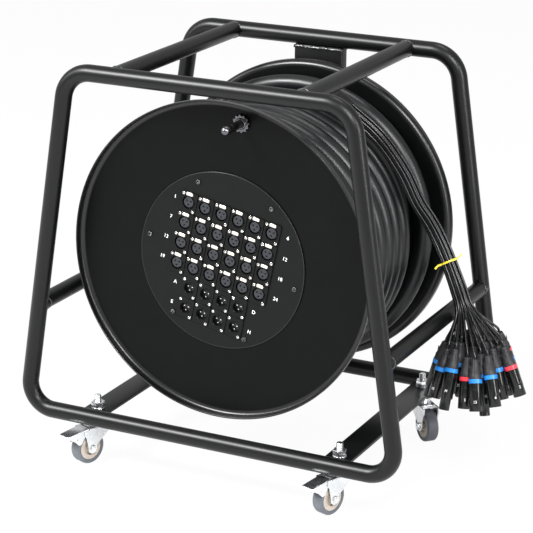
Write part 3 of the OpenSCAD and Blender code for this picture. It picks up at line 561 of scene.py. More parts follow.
def wound(t):
    """A point of the winding after t turns, drawn round the Y axis."""
    cross = max(0, min(1, (t - TURNS) / CROSSING))
    cross = cross * cross * (3 - 2 * cross)
    y = FIRST_Y + max(0, min(t, TURNS)) * PITCH
    y += (LAST_Y - y) * cross
    dive = DIVE_DEPTH * (DIVE_RATE * max(0, -t, t - DIVE_AT))**DIVE_POWER
    r = LAYER_R + (LAST_R - LAYER_R) * cross - dive
    angle = math.tau * (0.5 + t)
    return Vector((r * math.sin(angle), y, r * math.cos(angle)))


wound_line = [wound(START + i * (END - START) / WOUND_STEPS) for i in range(WOUND_STEPS + 1)]
winding = moved(tube(wound_line, CABLE_D, sides=8), DRUM)
settle(winding, "outer_turns", "drum", sheath, ["winding"])
print("outer turns:", round(line_length(wound_line) / 1000, 1), "m of cable")

# %% [markdown]
# The layers below show only in the gap beside the last turn, so plain rings round a core stand for
# them. The ring against the rear flange is pressed a little flatter.

# %% Lower turns
LOWER_R, LOWER_PITCH, LOWER_TURNS, LOWER_REAR_Y, LOWER_FRONT_Y = 167, 27.7, 10, 133.3, -119.3
SQUEEZED_FROM = 190    # the rear ring is drawn this wide and narrowed to its place
CORE_R, CORE_FRONT, CORE_REAR = 158, -132.5, 146.5
lower_ys = [LOWER_REAR_Y - LOWER_PITCH * i for i in range(LOWER_TURNS)] + [LOWER_FRONT_Y]
lower = []
for y in lower_ys:
    radius = LOWER_R if lower else SQUEEZED_FROM
    bpy.ops.mesh.primitive_torus_add(major_radius=radius, minor_radius=CABLE_D / 2,
                                     major_segments=96, minor_segments=20)
    lower.append(moved(bpy.context.object, turn(90, "X"), shift(0, y, 0)))
for axis in ((1, 0, 0), (0, 0, 1)):
    moved(lower[0], Matrix.Scale(LOWER_R / SQUEEZED_FROM, 4, axis))
core = lathe([(0.1, CORE_FRONT), (CORE_R, CORE_FRONT), (CORE_R, CORE_REAR), (0.1, CORE_REAR)], 48)
lower_turns = smooth(moved(joined(lower + [core]), DRUM), 40)
settle(lower_turns, "lower_turns", "drum", sheath, ["lower_layers"])
print("lower turns:", len(lower))

# %% [markdown]
# A hoop is one length of 25 mm tube bent at four corners and joined at the foot, so it is a closed
# tube along straight runs and arcs.

# %% Hoops
FOOT_BEND, HEAD_BEND, BEND_STEPS = 38, 45, 14
CORNERS = [(-FOOT_W / 2, 0, FOOT_BEND), (FOOT_W / 2, 0, FOOT_BEND),
           (HEAD_W / 2, HOOP_H, HEAD_BEND), (-HEAD_W / 2, HOOP_H, HEAD_BEND)]


def hoop_line(y):
    line = []
    for i, (x, z, r) in enumerate(CORNERS):
        here, before, after = Vector((x, z)), Vector(CORNERS[i - 1][:2]), Vector(CORNERS[(i + 1) % 4][:2])
        into, out = (here - before).normalized(), (after - here).normalized()
        bend = math.acos(into.dot(out))
        start = here - into * r * math.tan(bend / 2)
        centre = start + Vector((-into.y, into.x)) * r
        arm = Vector((into.y, -into.x)) * r
        for a in [bend * k / BEND_STEPS for k in range(BEND_STEPS + 1)]:
            c, s = math.cos(a), math.sin(a)
            spot = centre + Vector((arm.x * c - arm.y * s, arm.x * s + arm.y * c))
            line.append((spot.x, y, BASE_Z + spot.y))
    return line


for y, name in ((-HOOP_Y, "front_hoop"), (HOOP_Y, "rear_hoop")):
    hoop = tube(hoop_line(y), TUBE_D, sides=12, cyclic=True)
    settle(hoop, name + "_tube", "frame", frame_coat, [name])
print("hoops reach", HOOP_TOP, "mm")

# %% [markdown]
# The cross tubes end on the hoops in a bead of weld, which follows the saddle where round meets round
# and is as uneven as a hand leaves it.

# %% Cross tubes and their welds
TOP_TUBE_X, LEAN = 144, math.degrees(math.atan(SLOPE))
CROSS = [("top_tube_left", -TOP_TUBE_X, BASE_Z + HOOP_H, 0), ("top_tube_right", TOP_TUBE_X, BASE_Z + HOOP_H, 0),
         ("side_tube_left", -SIDE_X, SIDE_Z, LEAN - 90), ("side_tube_right", SIDE_X, SIDE_Z, 90 - LEAN)]
BEAD_POINTS = 72


def weld_bead(x, y, z, lean, inward):
    """A bead round the saddle where a cross tube meets a hoop's tube."""
    around = TUBE_R - 0.2
    bead, radii = [], []
    for a in [math.tau * i / BEAD_POINTS for i in range(BEAD_POINTS)]:
        across, up = around * math.sin(a), around * math.cos(a)
        reach = inward * (math.sqrt(max(0, TUBE_R**2 - across**2)) + 0.2)
        bead.append(turn(lean, "Y") @ Vector((across, reach, up)) + Vector((x, y, z)))
        radii.append(0.75 + 0.25 * math.sin(13 * a + x) * math.sin(5 * a) + 0.3 * random.random())
    return tube(bead, 2.6, sides=3, cyclic=True, radii=radii)


welds = []
for name, x, z, lean in CROSS:
    cross_tube = tube([(x, -HOOP_Y, z), (x, HOOP_Y, z)], TUBE_D, sides=12)
    settle(cross_tube, name + "_bar", "frame", frame_coat, [name])
    welds += [weld_bead(x, y, z, lean, 1 if y < 0 else -1) for y in (-HOOP_Y, HOOP_Y)]
print("cross tubes:", len(CROSS))

# %% [markdown]
# Flat bars carry the castors, and a rectangular post at the back carries the spindle. Both are plain
# stock with rounded edges, so a box with a bevel is the honest start.

# %% Base bars and rear post
BAR_X, BAR_W, BAR_LENGTH, BAR_T, BAR_END_Y = 198.5, 40, 351, 5, 175.8
POST_W, POST_T, POST_H = 80, 20, 500


def seam(points, diameter, thin, uneven):
    """A straight bead of weld through points that already waver in height."""
    return tube(points, diameter, sides=3, radii=[thin + uneven * random.random() for _ in points])


for side, name in ((-1, "left"), (1, "right")):
    bar = slab((BAR_W, BAR_LENGTH, BAR_T), (side * BAR_X, 0, BASE_Z - 1.5), 0.8)
    settle(bar, "castor_bar_" + name, "frame", bar_coat, ["base_bar_" + name])
    for y in (-BAR_END_Y, BAR_END_Y):
        xs = [side * BAR_X - BAR_W / 2 + BAR_W * i / 14 for i in range(15)]
        welds.append(seam([(x, y, BASE_Z + 1.2 + 0.5 * random.random()) for x in xs], 3.2, 0.7, 0.6))

post = slab((POST_W, POST_T, POST_H), (0, HOOP_Y, BASE_Z + HOOP_H / 2), 3.0, 4)
settle(post, "spindle_post", "frame", frame_coat, ["rear_post"])
for z, up in ((BASE_Z + HOOP_H - TUBE_R, -1), (BASE_Z + TUBE_R, 1)):
    for y in (HOOP_Y - 9.5, HOOP_Y + 9.5):
        xs = [-POST_W / 2 + POST_W * i / 24 for i in range(25)]
        welds.append(seam([(x, y, z + up * (1.5 + random.random())) for x in xs], 4.2, 0.6, 0.7))

weld_beads = joined(welds)
for vertex in weld_beads.data.vertices:
    vertex.co.z = min(vertex.co.z, HOOP_TOP)    # dressed flush, so that nothing stands above the hoops
settle(weld_beads, "weld_beads", "frame", weld_coat)
print("weld beads:", len(welds))

# %% [markdown]
# Each flange is spun sheet: flat, with a rounded corner and a short rim turned away from the cable.
# Turning the section on the lathe gives both faces, the corner and the rim in one go.

# %% Flanges
RIM_R, RIM_CORNER, SHEET, RIM_EDGE = 236, 8, 2, 14.3
FRONT_FLANGE_Y, REAR_FLANGE_Y = -133, 147
MIRROR_Y = Matrix.Scale(-1, 4, (0, 1, 0))


def flange(hole_r):
    bend_r, inside_r = RIM_R - RIM_CORNER, RIM_R - SHEET
    outer = [(hole_r, 0)] + arc(bend_r, RIM_CORNER, RIM_CORNER, -90, 0) + [(RIM_R, RIM_EDGE)]
    lip = [(RIM_R - 0.4, RIM_EDGE + 0.4), (inside_r + 0.4, RIM_EDGE + 0.4), (inside_r, RIM_EDGE)]
    inner = arc(bend_r, RIM_CORNER, RIM_CORNER - SHEET, 0, -90) + [(hole_r, SHEET)]
    return lathe(outer + lip + inner, 160, closed=True, angle=30)


front_flange = faces_out(moved(flange(115), MIRROR_Y, shift(0, FRONT_FLANGE_Y, 0), DRUM))
settle(front_flange, "front_pan", "drum", drum_coat, ["front_flange"])
rear_flange = moved(flange(25.1), shift(0, REAR_FLANGE_Y, 0), DRUM)
settle(rear_flange, "rear_pan", "drum", drum_coat, ["rear_flange"])
print("flanges:", 2 * RIM_R, "mm across")

# %% [markdown]
# The round panel is a disc punched for the sockets and screws. A flat outline with holes, given a
# thickness, is the same thing as the punched sheet.

# %% Connector panel
PANEL_R, PANEL_BACK, PANEL_FRONT = 131, -135, -137.5
COLUMN_PITCH, ROW_DROP, TOP_ROW_Z = 27, 31.6, 68.2


def socket_grid(rows, columns):
    return [((column - 2.5) * COLUMN_PITCH, TOP_ROW_Z - row * ROW_DROP) for row in rows for column in columns]


INPUTS, RETURN_SOCKETS = socket_grid(range(4), range(6)), socket_grid((4, 5), range(1, 5))
holes = [ring(x, z, 12, 24) for x, z in INPUTS + RETURN_SOCKETS]
middle = (PANEL_BACK + PANEL_FRONT) / 2
panel = facing([ring(0, 0, PANEL_R, 128)] + holes, PANEL_BACK - PANEL_FRONT, 0.35, middle)
settle(moved(panel, DRUM), "round_panel", "drum", panel_coat, ["connector_panel"])
print("panel holes:", len(holes))

# %% [markdown]
# Six black screws hold the panel. A head is a thin plate with a cross cut out, over a seat that closes
# the cross at the bottom.

# %% Panel screws
SCREW_R = 118.5


def screw_head(d, height, cross):
    """A raised head with a cross recess, its top toward -Y."""
    arm, half = d * 0.3, cross / 2
    quarter = [(arm, half), (half, half), (half, arm)]
    recess = quarter + [(-z, x) for x, z in quarter] + [(-x, -z) for x, z in quarter] + [(z, -x) for x, z in quarter]
    cap = facing([ring(0, 0, d / 2, 24), recess], height * 0.75, height * 0.3, -height * 0.62)
    seat = lathe([(0, -height * 0.3), (d * 0.48, -height * 0.3), (d * 0.48, 0), (0, 0)], 24)
    return joined([cap, seat])


at_screws = [DRUM @ turn(30 + 60 * i, "Y") @ shift(0, PANEL_FRONT, SCREW_R) for i in range(6)]
screws = copies(screw_head(7, 2, 0.9), at_screws)
settle(screws, "panel_screw_heads", "drum", black_zinc, ["panel_screws"])
print("panel screws:", len(at_screws))

# %% [markdown]
# An input socket is a die-cast flange with rounded corners round a deep bore, a dark insert with three
# contacts, and a bright latch tab at the top. One is modelled, and the others are copies.

# %% Input sockets
SOCKET_PLATE = round_rect(26, 31, 2.5)
LATCH_Z, CONTACT_R = 12.7, 3.8
CONTACTS = [(CONTACT_R * math.sin(math.radians(a)), CONTACT_R * math.cos(math.radians(a))) for a in (180, 60, -60)]
AT_CONTACTS = [shift(x, 0, z) for x, z in CONTACTS]


def in_sockets(sockets, *parts):
    """One mesh with a copy of the parts in each of these sockets."""
    return copies(joined(parts), [DRUM @ shift(x, PANEL_FRONT, z) for x, z in sockets])


latch_slot = round_rect(11.3, 5.3, 1.9, 0, LATCH_Z)
socket_face = facing([SOCKET_PLATE, ring(0, 0, 9.6, 40), latch_slot], 2, 0.3, -1)
socket_bore = lathe([(10.6, -2.0), (10.3, -2.5), (9.9, -2.5), (9.6, -2.1), (9.6, 16), (11.8, 26), (11.8, 0)], 40)
input_sockets = in_sockets(INPUTS, socket_face, socket_bore)
settle(input_sockets, "input_socket_bodies", "drum", connector_coat, ["input_sockets"])

insert_face = facing([ring(0, 0, 7.5, 36)] + [ring(x, z, 1.35, 14) for x, z in CONTACTS], 2, 0.25, -0.6)
skirt = lathe([(7.5, -0.2), (7.5, 16), (0, 16)], 36)
inserts = in_sockets(INPUTS, insert_face, skirt)
settle(inserts, "input_contact_blocks", "drum", insert_plastic, ["input_inserts"])

latches = in_sockets(INPUTS, facing([round_rect(10.9, 4.9, 1.7, 0, LATCH_Z)], 2.1, 0.5, -2.55))
settle(latches, "latch_tab_set", "latch_tabs", latch_nickel, ["input_latches"])
print("input sockets:", len(INPUTS))

# %% [markdown]
# A return socket has the same flange round a plain cup with a key notch and three bright pins.

# %% Return sockets
cup_mouth = arc(0, 0, 8.2, 101, 439, 40) + [(1.6, 9.6), (-1.6, 9.6)]
cup_face = facing([SOCKET_PLATE, cup_mouth], 2, 0.4, -1)
cup = lathe([(9.6, -2.0), (9.3, -2.4), (8.5, -2.4), (8.2, -2.1), (8.2, 16), (0, 16)], 40)
return_sockets = in_sockets(RETURN_SOCKETS, cup_face, cup)
settle(return_sockets, "return_socket_bodies", "drum", connector_coat, ["return_sockets"])

pin = lathe([(0, 0.9), (0.9, 1.2), (1.35, 2.0), (1.35, 16)], 16)
pins = in_sockets(RETURN_SOCKETS, copies(pin, AT_CONTACTS))
settle(pins, "return_socket_pins", "drum", nickel, ["return_pins"])
screw_pair = copies(screw_head(4.4, 1.2, 0.7), [shift(-9.5, -2, 12), shift(9.5, -2, -12)])
socket_screws = in_sockets(INPUTS + RETURN_SOCKETS, screw_pair)
settle(socket_screws, "socket_screw_heads", "drum", nickel, ["socket_screws"])
print("return sockets:", len(RETURN_SOCKETS))

# %% [markdown]
# Plain numbers beside the rows say which socket is which. Text is a curve, so it is turned into a
# mesh before its place is applied.

# %% Row numbers
LABELS = [("1", -90.5, 69), ("7", -91.1, 37.6), ("13", -92.9, 5.8), ("19", -92.9, -25.6),
          ("6", 92.7, 69.5), ("12", 94.6, 38), ("18", 93.9, 6.6), ("24", 93.5, -25.2),
          ("A", -64.8, -56.8), ("E", -64.2, -88.8), ("D", 65, -57.2), ("H", 64.5, -88.9)]
INK = 0.03


def lettering(words, size, place):
    clear_selection()
    bpy.ops.object.text_add()
    text = bpy.context.object
    text.data.body, text.data.size = words, size
    text.data.align_x, text.data.align_y = "CENTER", "CENTER"
    text.data.extrude, text.data.offset = INK, size * 0.004
    bpy.ops.object.convert(target="MESH")
    return moved(bpy.context.object, place)


labels = [lettering(words, 7.5, DRUM @ shift(x, PANEL_FRONT - INK, z) @ UPRIGHT) for words, x, z in LABELS]
settle(joined(labels), "row_numbers", "drum", white_print)
print("labels:", len(labels))

# %% [markdown]
# The crank is a bolt through the flange with a toothed nut at its foot and a sleeve that spins on it.

# %% Crank
CRANK_R, CRANK_TURN = 208, -3.4
CRANK = DRUM @ turn(CRANK_TURN, "Y") @ shift(0, 0, CRANK_R)
FOOT_Y, TIP_Y, BORE_R, SLEEVE_R = -143, -181, 4.1, 6
bolt_head = [(0, -191.4), (2.5, -190.6), (4.8, -189.2), (6.2, -187), (6.5, -185), (6.5, -181.3)]
bolt_shank = [(4, -181.3), (4, -133), (7, -132.9), (7, -131.9), (0, -131.9)]
settle(moved(lathe(bolt_head + bolt_shank, 40), CRANK), "crank_bolt", "drum", black_zinc, ["crank_pin"])

groove = [(SLEEVE_R, TIP_Y + 8), (5.8, TIP_Y + 8.6), (SLEEVE_R, TIP_Y + 9.2)]
sleeve = ([(BORE_R, TIP_Y), (5.4, TIP_Y), (SLEEVE_R, TIP_Y + 0.8)] + groove
          + [(SLEEVE_R, FOOT_Y - 0.3), (5.4, FOOT_Y + 0.6), (BORE_R, FOOT_Y + 0.6)])
settle(moved(lathe(sleeve, 40, closed=True), CRANK), "crank_grip_sleeve", "crank_grip", grip_plastic,
       ["crank_sleeve"])

teeth = [p for i in range(24) for p in arc(0, 0, 13 if i % 2 else 11.2, i * 15 - 5.5, i * 15 + 5.5, 3)]
nut = facing([teeth, ring(0, 0, 4.2, 24)], 4.9, 0.5, -137.45)
cone = lathe([(4.2, -142), (7, -142), (7.8, -141.2), (8.6, -139.9), (4.2, -139.9)], 32, closed=True)
settle(moved(joined([nut, cone]), CRANK), "crank_foot_nut", "drum", black_zinc, ["crank_nut"])
print("crank", CRANK_R, "mm from the axle")

# %% [markdown]
# A plug is a die-cast shell, a coloured ring and a rubber boot with long ribs. The plain body is one
# profile on the lathe. The arched window for the number is drawn flat and wrapped round the shell.

# %% Parts of a plug
SHELL_R, BOOT_H, RING_END = 9.4, 28, 34
BOOT_CONE_H, BOOT_FLARE = 20, 3.6


def ribbed_boot():
    """A rubber cone with two shallow rings near its top and a row of long ribs above its skirt."""
    line = [(2.1, 0), (4.6, 0), (5.1, 0.6)]
    for y in (3.0, 6.5):
        r = 5 + y / BOOT_CONE_H * BOOT_FLARE
        line += [(r, y), (r - 0.5, y + 0.3), (r - 0.4, y + 1.4), (r + 0.3, y + 1.7)]
    line += [(8.1, 19.4), (8.8, 20.4), (8.8, BOOT_H), (2.1, BOOT_H)]
    parts = [lathe(line, 24, closed=True)]
    lean = Matrix.Rotation(-math.atan2(BOOT_FLARE, BOOT_CONE_H), 4, "X")
    for i in range(12):
        rib = slab((0.9, 9.5, 0.9), (0, 0, 0), 0.25, 1)
        parts.append(moved(rib, lean, shift(0, 13.8, 7.5), turn(30 * i, "Y")))
    return joined(parts)


def wrapped(flat):
    """Bends a flat piece round a plug's shell, its top toward the boot and its face toward -Z."""
    for vertex in flat.data.vertices:
        x, y, h = vertex.co
        vertex.co = ((SHELL_R + h) * math.sin(x / SHELL_R), -y, -(SHELL_R + h) * math.cos(x / SHELL_R))
    flat.data.update()
    return flat


def arched(w, h):
    return [(-w / 2, -h), (w / 2, -h)] + arc(0, 0, w / 2, 0, 180, 12)


window = wrapped(moved(plate([arched(9.4, 9), arched(7.4, 8)], 1.1, 0.3), shift(0, -47, 0.1)))
print("window faces:", len(window.data.polygons))

# %% [markdown]
# Each plug follows its own tail's direction and is turned a little, so that the windows don't all face
# one way.

# %% Where each plug stands
FRONT_TURNS = (10, -14, 22, 6, -20, 12, -24)    # the plugs of the front rows


def standing(n):
    """The place of a plug: its own +Y runs from the boot's top down through the shell."""
    y = plug_dir(n)
    x = y.cross(FAN_AWAY).normalized()
    z = x.cross(y)
    turned = FRONT_TURNS[n] if n < len(FRONT_TURNS) else random.choice((0, 20, -25, 45, -50))
    return shift(*plug_top(n)) @ Matrix((x, y, z)).transposed().to_4x4() @ turn(turned, "Y")


stands = [standing(n) for n in PLUGS]
print("places for plugs:", len(stands))

# %% [markdown]
# The boots and rings are the same on every plug, so each is made once and copied to its places. Each
# copy stays a piece of its own, because a tail carries its own boot, ring and shell.

# %% Boots and rings
hanging = [[] for _ in PLUGS]


def hang(master, numbers, name, finish, node):
    """Puts a copy of a plug's part at each of these plugs, as a piece of its own, listed under that plug."""
    for n in numbers:
        twin = moved(twin_of(master), stands[n])
        hanging[n].append(settle(twin, f"{name}_{n + 1}", "frame", finish, [node]))
    bpy.data.objects.remove(master)


def ring_band():
    return lathe([(8.9, BOOT_H), (9.4, BOOT_H), (9.7, BOOT_H + 0.4), (9.7, RING_END - 0.4), (9.4, RING_END),
                  (8.9, RING_END)], 32, closed=True)


blues = [n for n in PLUGS if n not in RED]
hang(ribbed_boot(), PLUGS, "plug_boot", boot_rubber, "plug_boots")
hang(ring_band(), blues, "blue_ring", blue_plastic, "blue_rings")
hang(ring_band(), sorted(RED), "red_ring", red_plastic, "red_rings")
print("rings:", len(blues), "blue and", len(RED), "red")

# %% [markdown]
# An input tail ends in a cup with three pins, and a return tail in a plain nose. The pins of all the
# cups are one mesh, since they are too small to be pieces of their own.

# %% Shells
collar = [(8.5, RING_END), (9.1, 34.2), (9.1, 35), (SHELL_R, 35.3)]
cup_profile = [(SHELL_R, 73.4), (9, 74), (8.3, 74), (8.1, 73.6), (8.1, 60), (0, 60)]
nose_profile = [(SHELL_R, 71), (9, 72), (7.8, 72.2), (7.6, 72.6), (7.6, 88.5), (7.1, 89),
                (6.6, 89), (6.4, 88.4), (6.4, 86), (0, 86)]
second_window = twin_of(window)
hang(joined([lathe(collar + cup_profile, 32), window]), INPUT_PLUGS, "male_plug", plug_coat,
     "input_plugs")
plug_pins = copies(lathe([(0, 71), (0.9, 70.6), (1.2, 69.8), (1.2, 60)], 12), AT_CONTACTS)
settle(copies(plug_pins, [stands[n] for n in INPUT_PLUGS]), "male_plug_pins", "frame", nickel)
hang(joined([lathe(collar + nose_profile, 32), second_window]), sorted(RETURNS), "female_plug", plug_coat,
     "return_plugs")
print("shells:", len(INPUT_PLUGS), "male and", len(RETURNS), "female")

# %% [markdown]
# Every plug has its number below the window, plain and white, wrapped round the shell like the window.

# %% Plug numbers
tags = []
inputs_left = [str(n) for n in range(1, 25)]
random.shuffle(inputs_left)
names_left = list("ABCDEFGH")
for n in PLUGS:
    words = names_left.pop() if n in RETURNS else inputs_left.pop()
    tags.append(moved(wrapped(lettering(words, 5.4, shift(0, -61, 0.06))), stands[n]))
settle(joined(tags), "plug_numbers", "frame", white_print)
print("plug numbers:", len(tags))

# %% [markdown]
# The breakout is a shrink sleeve over the end of the big cable, tapered where it grips. The space that
# the outer turns sweep is cut out of it, so that they pass under it when the drum turns.

# %% Breakout
SWEPT_R, SLEEVE_LENGTH = 205.3, 46
mouth_dir = (BUNDLE[1] - BUNDLE[0]).normalized()
sleeve_back, cable_foot = BUNDLE[0] - mouth_dir * SLEEVE_LENGTH, Vector((40, 37, 537))
stub_line = [cable_foot.lerp(sleeve_back, t) for t in (0, 0.5, 1)] + [sleeve_back + mouth_dir * 8]
sleeve_line = [sleeve_back + mouth_dir * t for t in (0, 2, 8, 20, 40, 45, SLEEVE_LENGTH)]
stub = tube(stub_line, CABLE_D, sides=8)
wrap = tube(sleeve_line, 33, sides=8, radii=[0.82, 0.86, 0.95, 1, 1, 0.98, 0.95])
swept = moved(lathe([(0, -40), (SWEPT_R, -40), (SWEPT_R, 100), (0, 100)], 128), shift(0, 0, AXLE_Z))
for piece in (stub, wrap):
    modify(piece, "BOOLEAN", object=swept, operation="DIFFERENCE")
bpy.data.objects.remove(swept)
settle(joined([stub, wrap]), "breakout_sleeve", "frame", shrink_sleeve, ["breakout"])
print("breakout sleeve:", SLEEVE_LENGTH, "mm")

# %% [markdown]
# A tie holds the tails a hand lower. It is drawn as the shortest line round them, which is how a tie
# sits, and its two ends stand off as short straps.

# %% Tie
def taut_band(centres, r):
    """The shortest closed line round circles of radius r."""
    dots = sorted({(round(x + r * math.cos(a), 3), round(y + r * math.sin(a), 3))
                   for x, y in centres for a in [math.tau * k / 16 for k in range(16)]})
    chains = []
    for row in (dots, dots[::-1]):
        chain = []
        for dot in row:
            while len(chain) > 1 and ((chain[-1][0] - chain[-2][0]) * (dot[1] - chain[-2][1])
                                      <= (chain[-1][1] - chain[-2][1]) * (dot[0] - chain[-2][0])):
                chain.pop()
            chain.append(dot)
        chains += chain[:-1]
    return chains


TIE_AT, TIE_D = BUNDLE[6], 1.6
tie_dir = (BUNDLE[7] - BUNDLE[5]).normalized()
tie_x = (FAN_RIGHT - FAN_RIGHT.dot(tie_dir) * tie_dir).normalized()
tie_z = tie_x.cross(tie_dir)
band = taut_band([(TAIL_PITCH * x, TAIL_PITCH * y) for x, y in PLACES], TAIL_D / 2 + 0.9)
tie_line = [TIE_AT + tie_x * x + tie_z * y for x, y in band]
strands = [tube([p + tie_dir * s * 0.7 for p in tie_line], TIE_D, sides=2, cyclic=True) for s in (0, -1, 1)]
knot, tip = TIE_AT - tie_x * 11.5 - tie_z * 9, TIE_AT + tie_x * 12.5 - tie_z * 6
strap = tube([knot, knot - tie_x * 5 - tie_z * 3, knot - tie_x * 11 - tie_z * 3.5 + tie_dir * 3], 2.8, sides=3)
strap_end = tube([tip, tip + tie_x * 5 - tie_dir * 1.5, tip + tie_x * 10 - tie_dir * 4], 2.2, sides=3)
settle(joined(strands + [strap, strap_end]), "yellow_tie", "frame", yellow_plastic, ["tail_tie"])
print("tie round the tails:", round(line_length(tie_line)), "mm")

# %% [markdown]
# Each tail's route is turned into metres and its length is worked out, but neither is kept.

for tail, route, pieces in zip(tails, tail_routes, hanging):
    path = [[x / 1000 for x in p] for p in route]
    line_length(route) / 1000
print("cords:", len(tails))

# %% [markdown]
# A castor hangs on a threaded stem with a cup, which a nut and a washer hold in the flat bar. All four
# are alike, so one stem is turned on the lathe, thread and all, and copied.

# %% Castor stems and nuts
CASTOR_Y = 154
CASTORS = {"front_left": (-BAR_X, -CASTOR_Y, -20), "front_right": (BAR_X, -CASTOR_Y, -18),
           "rear_left": (-BAR_X, CASTOR_Y, -100), "rear_right": (BAR_X, CASTOR_Y, 47)}
THREAD_PITCH = 1.15


def castor_place(name):
    x, y, angle = CASTORS[name]
    return shift(x, y, 0) @ turn(angle, "Z")


stem_places = [castor_place(name) for name in CASTORS]
stem_cup = [(0, 52.7), (5.5, 52.7), (6.5, 53.4), (6.5, 54.7), (4, 54.7), (4, 61.8), (15, 61.8), (16, 62.8),
            (15.4, 65.2), (13, 66.8), (9, 66.8), (9, 74.9), (5, 74.9)]
thread = [p for i in range(24) for p in ((4.5, 74 + i * THREAD_PITCH), (5, 74.6 + i * THREAD_PITCH))]
stem = moved(lathe(stem_cup + thread + [(4.2, 102), (0, 102)], 40), LYING)
settle(copies(stem, stem_places), "castor_stem_set", "frame", zinc, ["caster_stems"])
nut_body = moved(plate([hexagon(10.2), ring(0, 0, 5.1, 24)], 8.5, 0.7, angle=25), shift(0, 0, 87.25))
washer = moved(plate([ring(0, 0, 10, 40), ring(0, 0, 5.3, 24)], 2.9, 0.4), shift(0, 0, 81.5))
settle(copies(joined([nut_body, washer]), stem_places), "stem_nut_set", "frame", zinc, ["stem_nuts"])
print("castors:", len(CASTORS))

# %% [markdown]
# The fork is pressed from plated sheet, and its legs narrow to the axle, which trails behind the stem.
# The wheel is a moulded core with a rubber tyre, and both come off the lathe.

# %% Forks and wheels
AXLE_BACK, AXLE_UP, LEG_T, LEG_X = -22, 25, 2.5, 12.25
SIDEWAYS = turn(-90, "Z")    # a lathe's axis, +Y, points along the axle, +X
STANDING = turn(90, "Z") @ turn(90, "X")    # a flat outline stands up and looks sideways
TO_AXLE = shift(0, AXLE_BACK, AXLE_UP) @ SIDEWAYS
leg = ([(12, 57.5), (-36, 57.5), (-36, 50), (-32.5, 40), (-30.5, 30)]
       + arc(AXLE_BACK, AXLE_UP, 8, 170, 385, 14) + [(12, 49)])
race = [(4.1, 57.4), (13, 57.4), (13.4, 58.4), (12.6, 60.6), (11, 61.4), (4.1, 61.4)]
shank = [(0, -18.4), (2.6, -18.2), (3, -17.8), (3, 16.4), (2.6, 16.8), (0, 16.8)]
half_core = [(3.2, -10.5), (5.5, -10.5), (6.2, -10), (7, -5.5), (10.5, -5), (11.3, -7.6),
             (12, -8), (18.2, -8.1), (19, -7.4)]
half_tyre = [(18.9, -8.4), (21.5, -9)] + arc(22, -6, 3, -90, 0, 5)


def both_halves(half):
    """A whole profile from the half on one side of the middle."""
    return half + [(x, -y) for x, y in reversed(half)]


for name in CASTORS:
    place = castor_place(name)
    legs = [moved(plate([leg], LEG_T, 0.5), STANDING, shift(s * LEG_X, 0, 0)) for s in (-1, 1)]
    deck = slab((27, 35, LEG_T), (0, -5.5, 56.25), 0.6)
    fork = joined(legs + [deck, moved(lathe(race, 40, closed=True), LYING)])
    heads = [facing([hexagon(5.4)], height, 0.5, y) for height, y in ((3.8, -15.5), (2.4, 14.8))]
    axle = moved(joined([lathe(shank, 24)] + heads), TO_AXLE)
    wheel = moved(lathe(both_halves(half_core), 48, closed=True), TO_AXLE)
    tyre = moved(lathe(both_halves(half_tyre), 64, closed=True), TO_AXLE)
    for shape, piece, body, finish, node, slot in (
            (fork, "pressed_fork_", "swivel_", zinc, "fork_", "zinc"),
            (axle, "axle_bolt_", "swivel_", zinc, "axle_", "zinc"),
            (wheel, "castor_core_", "castor_wheel_", wheel_plastic, "wheel_", "wheel_plastic"),
            (tyre, "castor_tyre_", "castor_wheel_", tyre_rubber, "tyre_", "tyre")):
        settle(moved(shape, place), piece + name, body + name, finish, [node + name])
print("forks and wheels:", len(CASTORS))

# %% [markdown]
# The front castors carry a brake pedal: a tread between two cheeks, on a cross pin over the wheel, with
# a round shoe that comes down toward the tyre.

# %% Brake pedals
CHEEK_X, TREAD_W, PEDAL_TILT = 10, 21, 8
cheek = ([(5, 2), (-37, 2), (-36.5, -2)] + arc(-34, -14, 11, 80, 15, 6) + arc(-16, -13, 5, 200, 320, 8)
         + arc(0, 0, 5.5, 250, 360, 6))
rod_end = [(0, -11.9), (1.9, -11.7), (2.6, -10.7)]
pin_end = [(0, -15), (1.7, -15), (2, -14.6)]


def rod(end, steps):
    """A short bar along the axle, turned from the profile of one end."""
    return moved(lathe(both_halves(end), steps), SIDEWAYS)


for side, name in (("left", "front_left"), ("right", "front_right")):
    place = castor_place(name) @ shift(0, -30, 55.1) @ turn(PEDAL_TILT, "X")
    tread = moved(plate([round_rect(TREAD_W, 37, 3, 0, -18.5)], 2.2, 0.6), shift(0, 0, 2.1))
    cheeks = [moved(plate([cheek], 1.4, 0.4), STANDING, shift(s * CHEEK_X, 0, 0)) for s in (-1, 1)]
    shoe = moved(rod(rod_end, 16), shift(0, -21, -9.4))
    front_lip = slab((TREAD_W, 1.4, 4), (0, -36.2, 0.4), 0.4)
    knuckle = rod([(0, -10.4), (3.5, -10.4)], 24)
    pedal = joined([tread, knuckle, rod(pin_end, 16)] + cheeks + [shoe, front_lip])
    settle(moved(pedal, place), "pressed_pedal_" + side, "pedal_" + side, zinc, ["brake_pedal_" + side])
print("brake pedals: 2")

# %% [markdown]
# The remaining solids already have their true shape, so they keep it and only get a finish.

# %% Finish the solids that stay
KEPT = {"spindle": zinc, "spindle_nut": zinc, "hub": drum_coat, "hub_bearings": ground_steel,
        "barrel": drum_coat, "cable_gland": grip_plastic, "wiring_loom": sheath}
for name, finish in KEPT.items():
    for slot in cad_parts[name].material_slots:
        slot.material = finish
print("solids kept:", len(KEPT))

# %% [markdown]
# The floor is plain and pale. The camera sees it nearly as white as the world, and glossy and clear
# surfaces see it half so, and it keeps a little of the object's shadow.

# %% Floor
clear_selection()
bpy.ops.mesh.primitive_plane_add(size=30, location=(0, 0, 0))
floor = bpy.context.object
floor.name = "floor"
pale = Finish("floor_white", (0.86, 0.86, 0.86), 0.7)


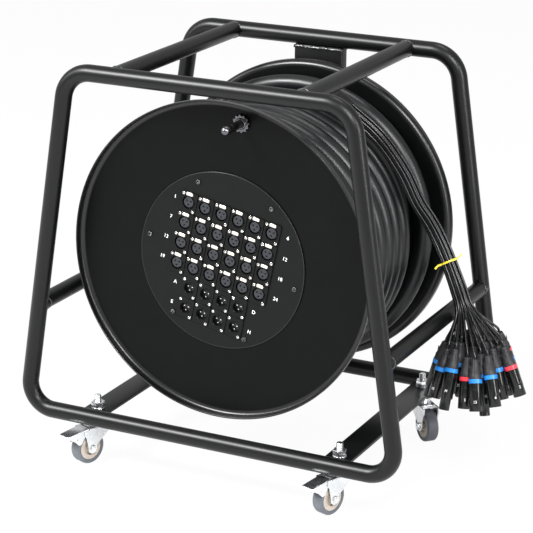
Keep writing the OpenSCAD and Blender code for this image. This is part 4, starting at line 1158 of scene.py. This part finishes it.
def ray_kinds(tree):
    """What the camera sees, and what glossy and clear surfaces see, as two masks."""
    rays = tree.nodes.new("ShaderNodeLightPath").outputs
    seen, glossy, clear = (Wire(tree, rays[f"Is {kind} Ray"]) for kind in ("Camera", "Glossy", "Transmission"))
    return seen, glossy + clear


seen, mirrored = ray_kinds(pale.tree)
glow = pale.node("ShaderNodeEmission", Color=(1, 1, 1, 1), Strength=1.0)
mix = pale.node("ShaderNodeMixShader", Fac=seen * 0.95 + mirrored * 0.5)
for source, target in ((pale.shader.outputs[0], mix.socket.node.inputs[1]), (glow.socket, mix.socket.node.inputs[2]),
                       (mix.socket, pale.tree.nodes["Material Output"].inputs["Surface"])):
    pale.tree.links.new(source, target)
floor.data.materials.append(pale.material)
print("floor:", floor.name)

# %% [markdown]
# The world is white to the camera, pale to reflections, and gives only a dim even light. Large soft
# lamps do the rest: the key at the left draws the highlights along the tubes, the fill lights the
# face, and the others edge the sides and the top.

# %% World and lamps
world = bpy.data.worlds.new("studio")
bpy.context.scene.world = world
world.use_nodes = True
sky = world.node_tree.nodes["Background"]
seen, mirrored = ray_kinds(world.node_tree)
feed(world.node_tree, 0.25 + seen * 0.75 + mirrored * 0.4, sky.inputs["Strength"])
sky.inputs["Color"].default_value = (1, 1, 1, 1)
AIM = Vector((0, 0, 0.3))
LAMPS = [("key_left", (-1.45, -2.05, 2.5), (1.2, 0.9), 200), ("fill_right", (1.6, -1.98, 2.22), (1.1, 0.8), 85),
         ("left_strip", (-2.3, -1.1, 1.7), (0.5, 1.6), 20), ("top", (0.3, 0.6, 3.0), (1.0, 0.7), 16),
         ("right_strip", (2.3, -0.6, 1.0), (0.4, 1.5), 34)]    # name, place, size in metres, watts
for name, at, size, power in LAMPS:
    clear_selection()
    bpy.ops.object.light_add(type="AREA", location=at)
    lamp = bpy.context.object
    lamp.name = name
    lamp.data.shape, lamp.data.size, lamp.data.size_y, lamp.data.energy = "RECTANGLE", *size, power
    lamp.rotation_euler = (AIM - Vector(at)).to_track_quat("-Z", "Y").to_euler()
bpy.context.scene.view_settings.view_transform = "Standard"
print("lamps:", len(LAMPS))
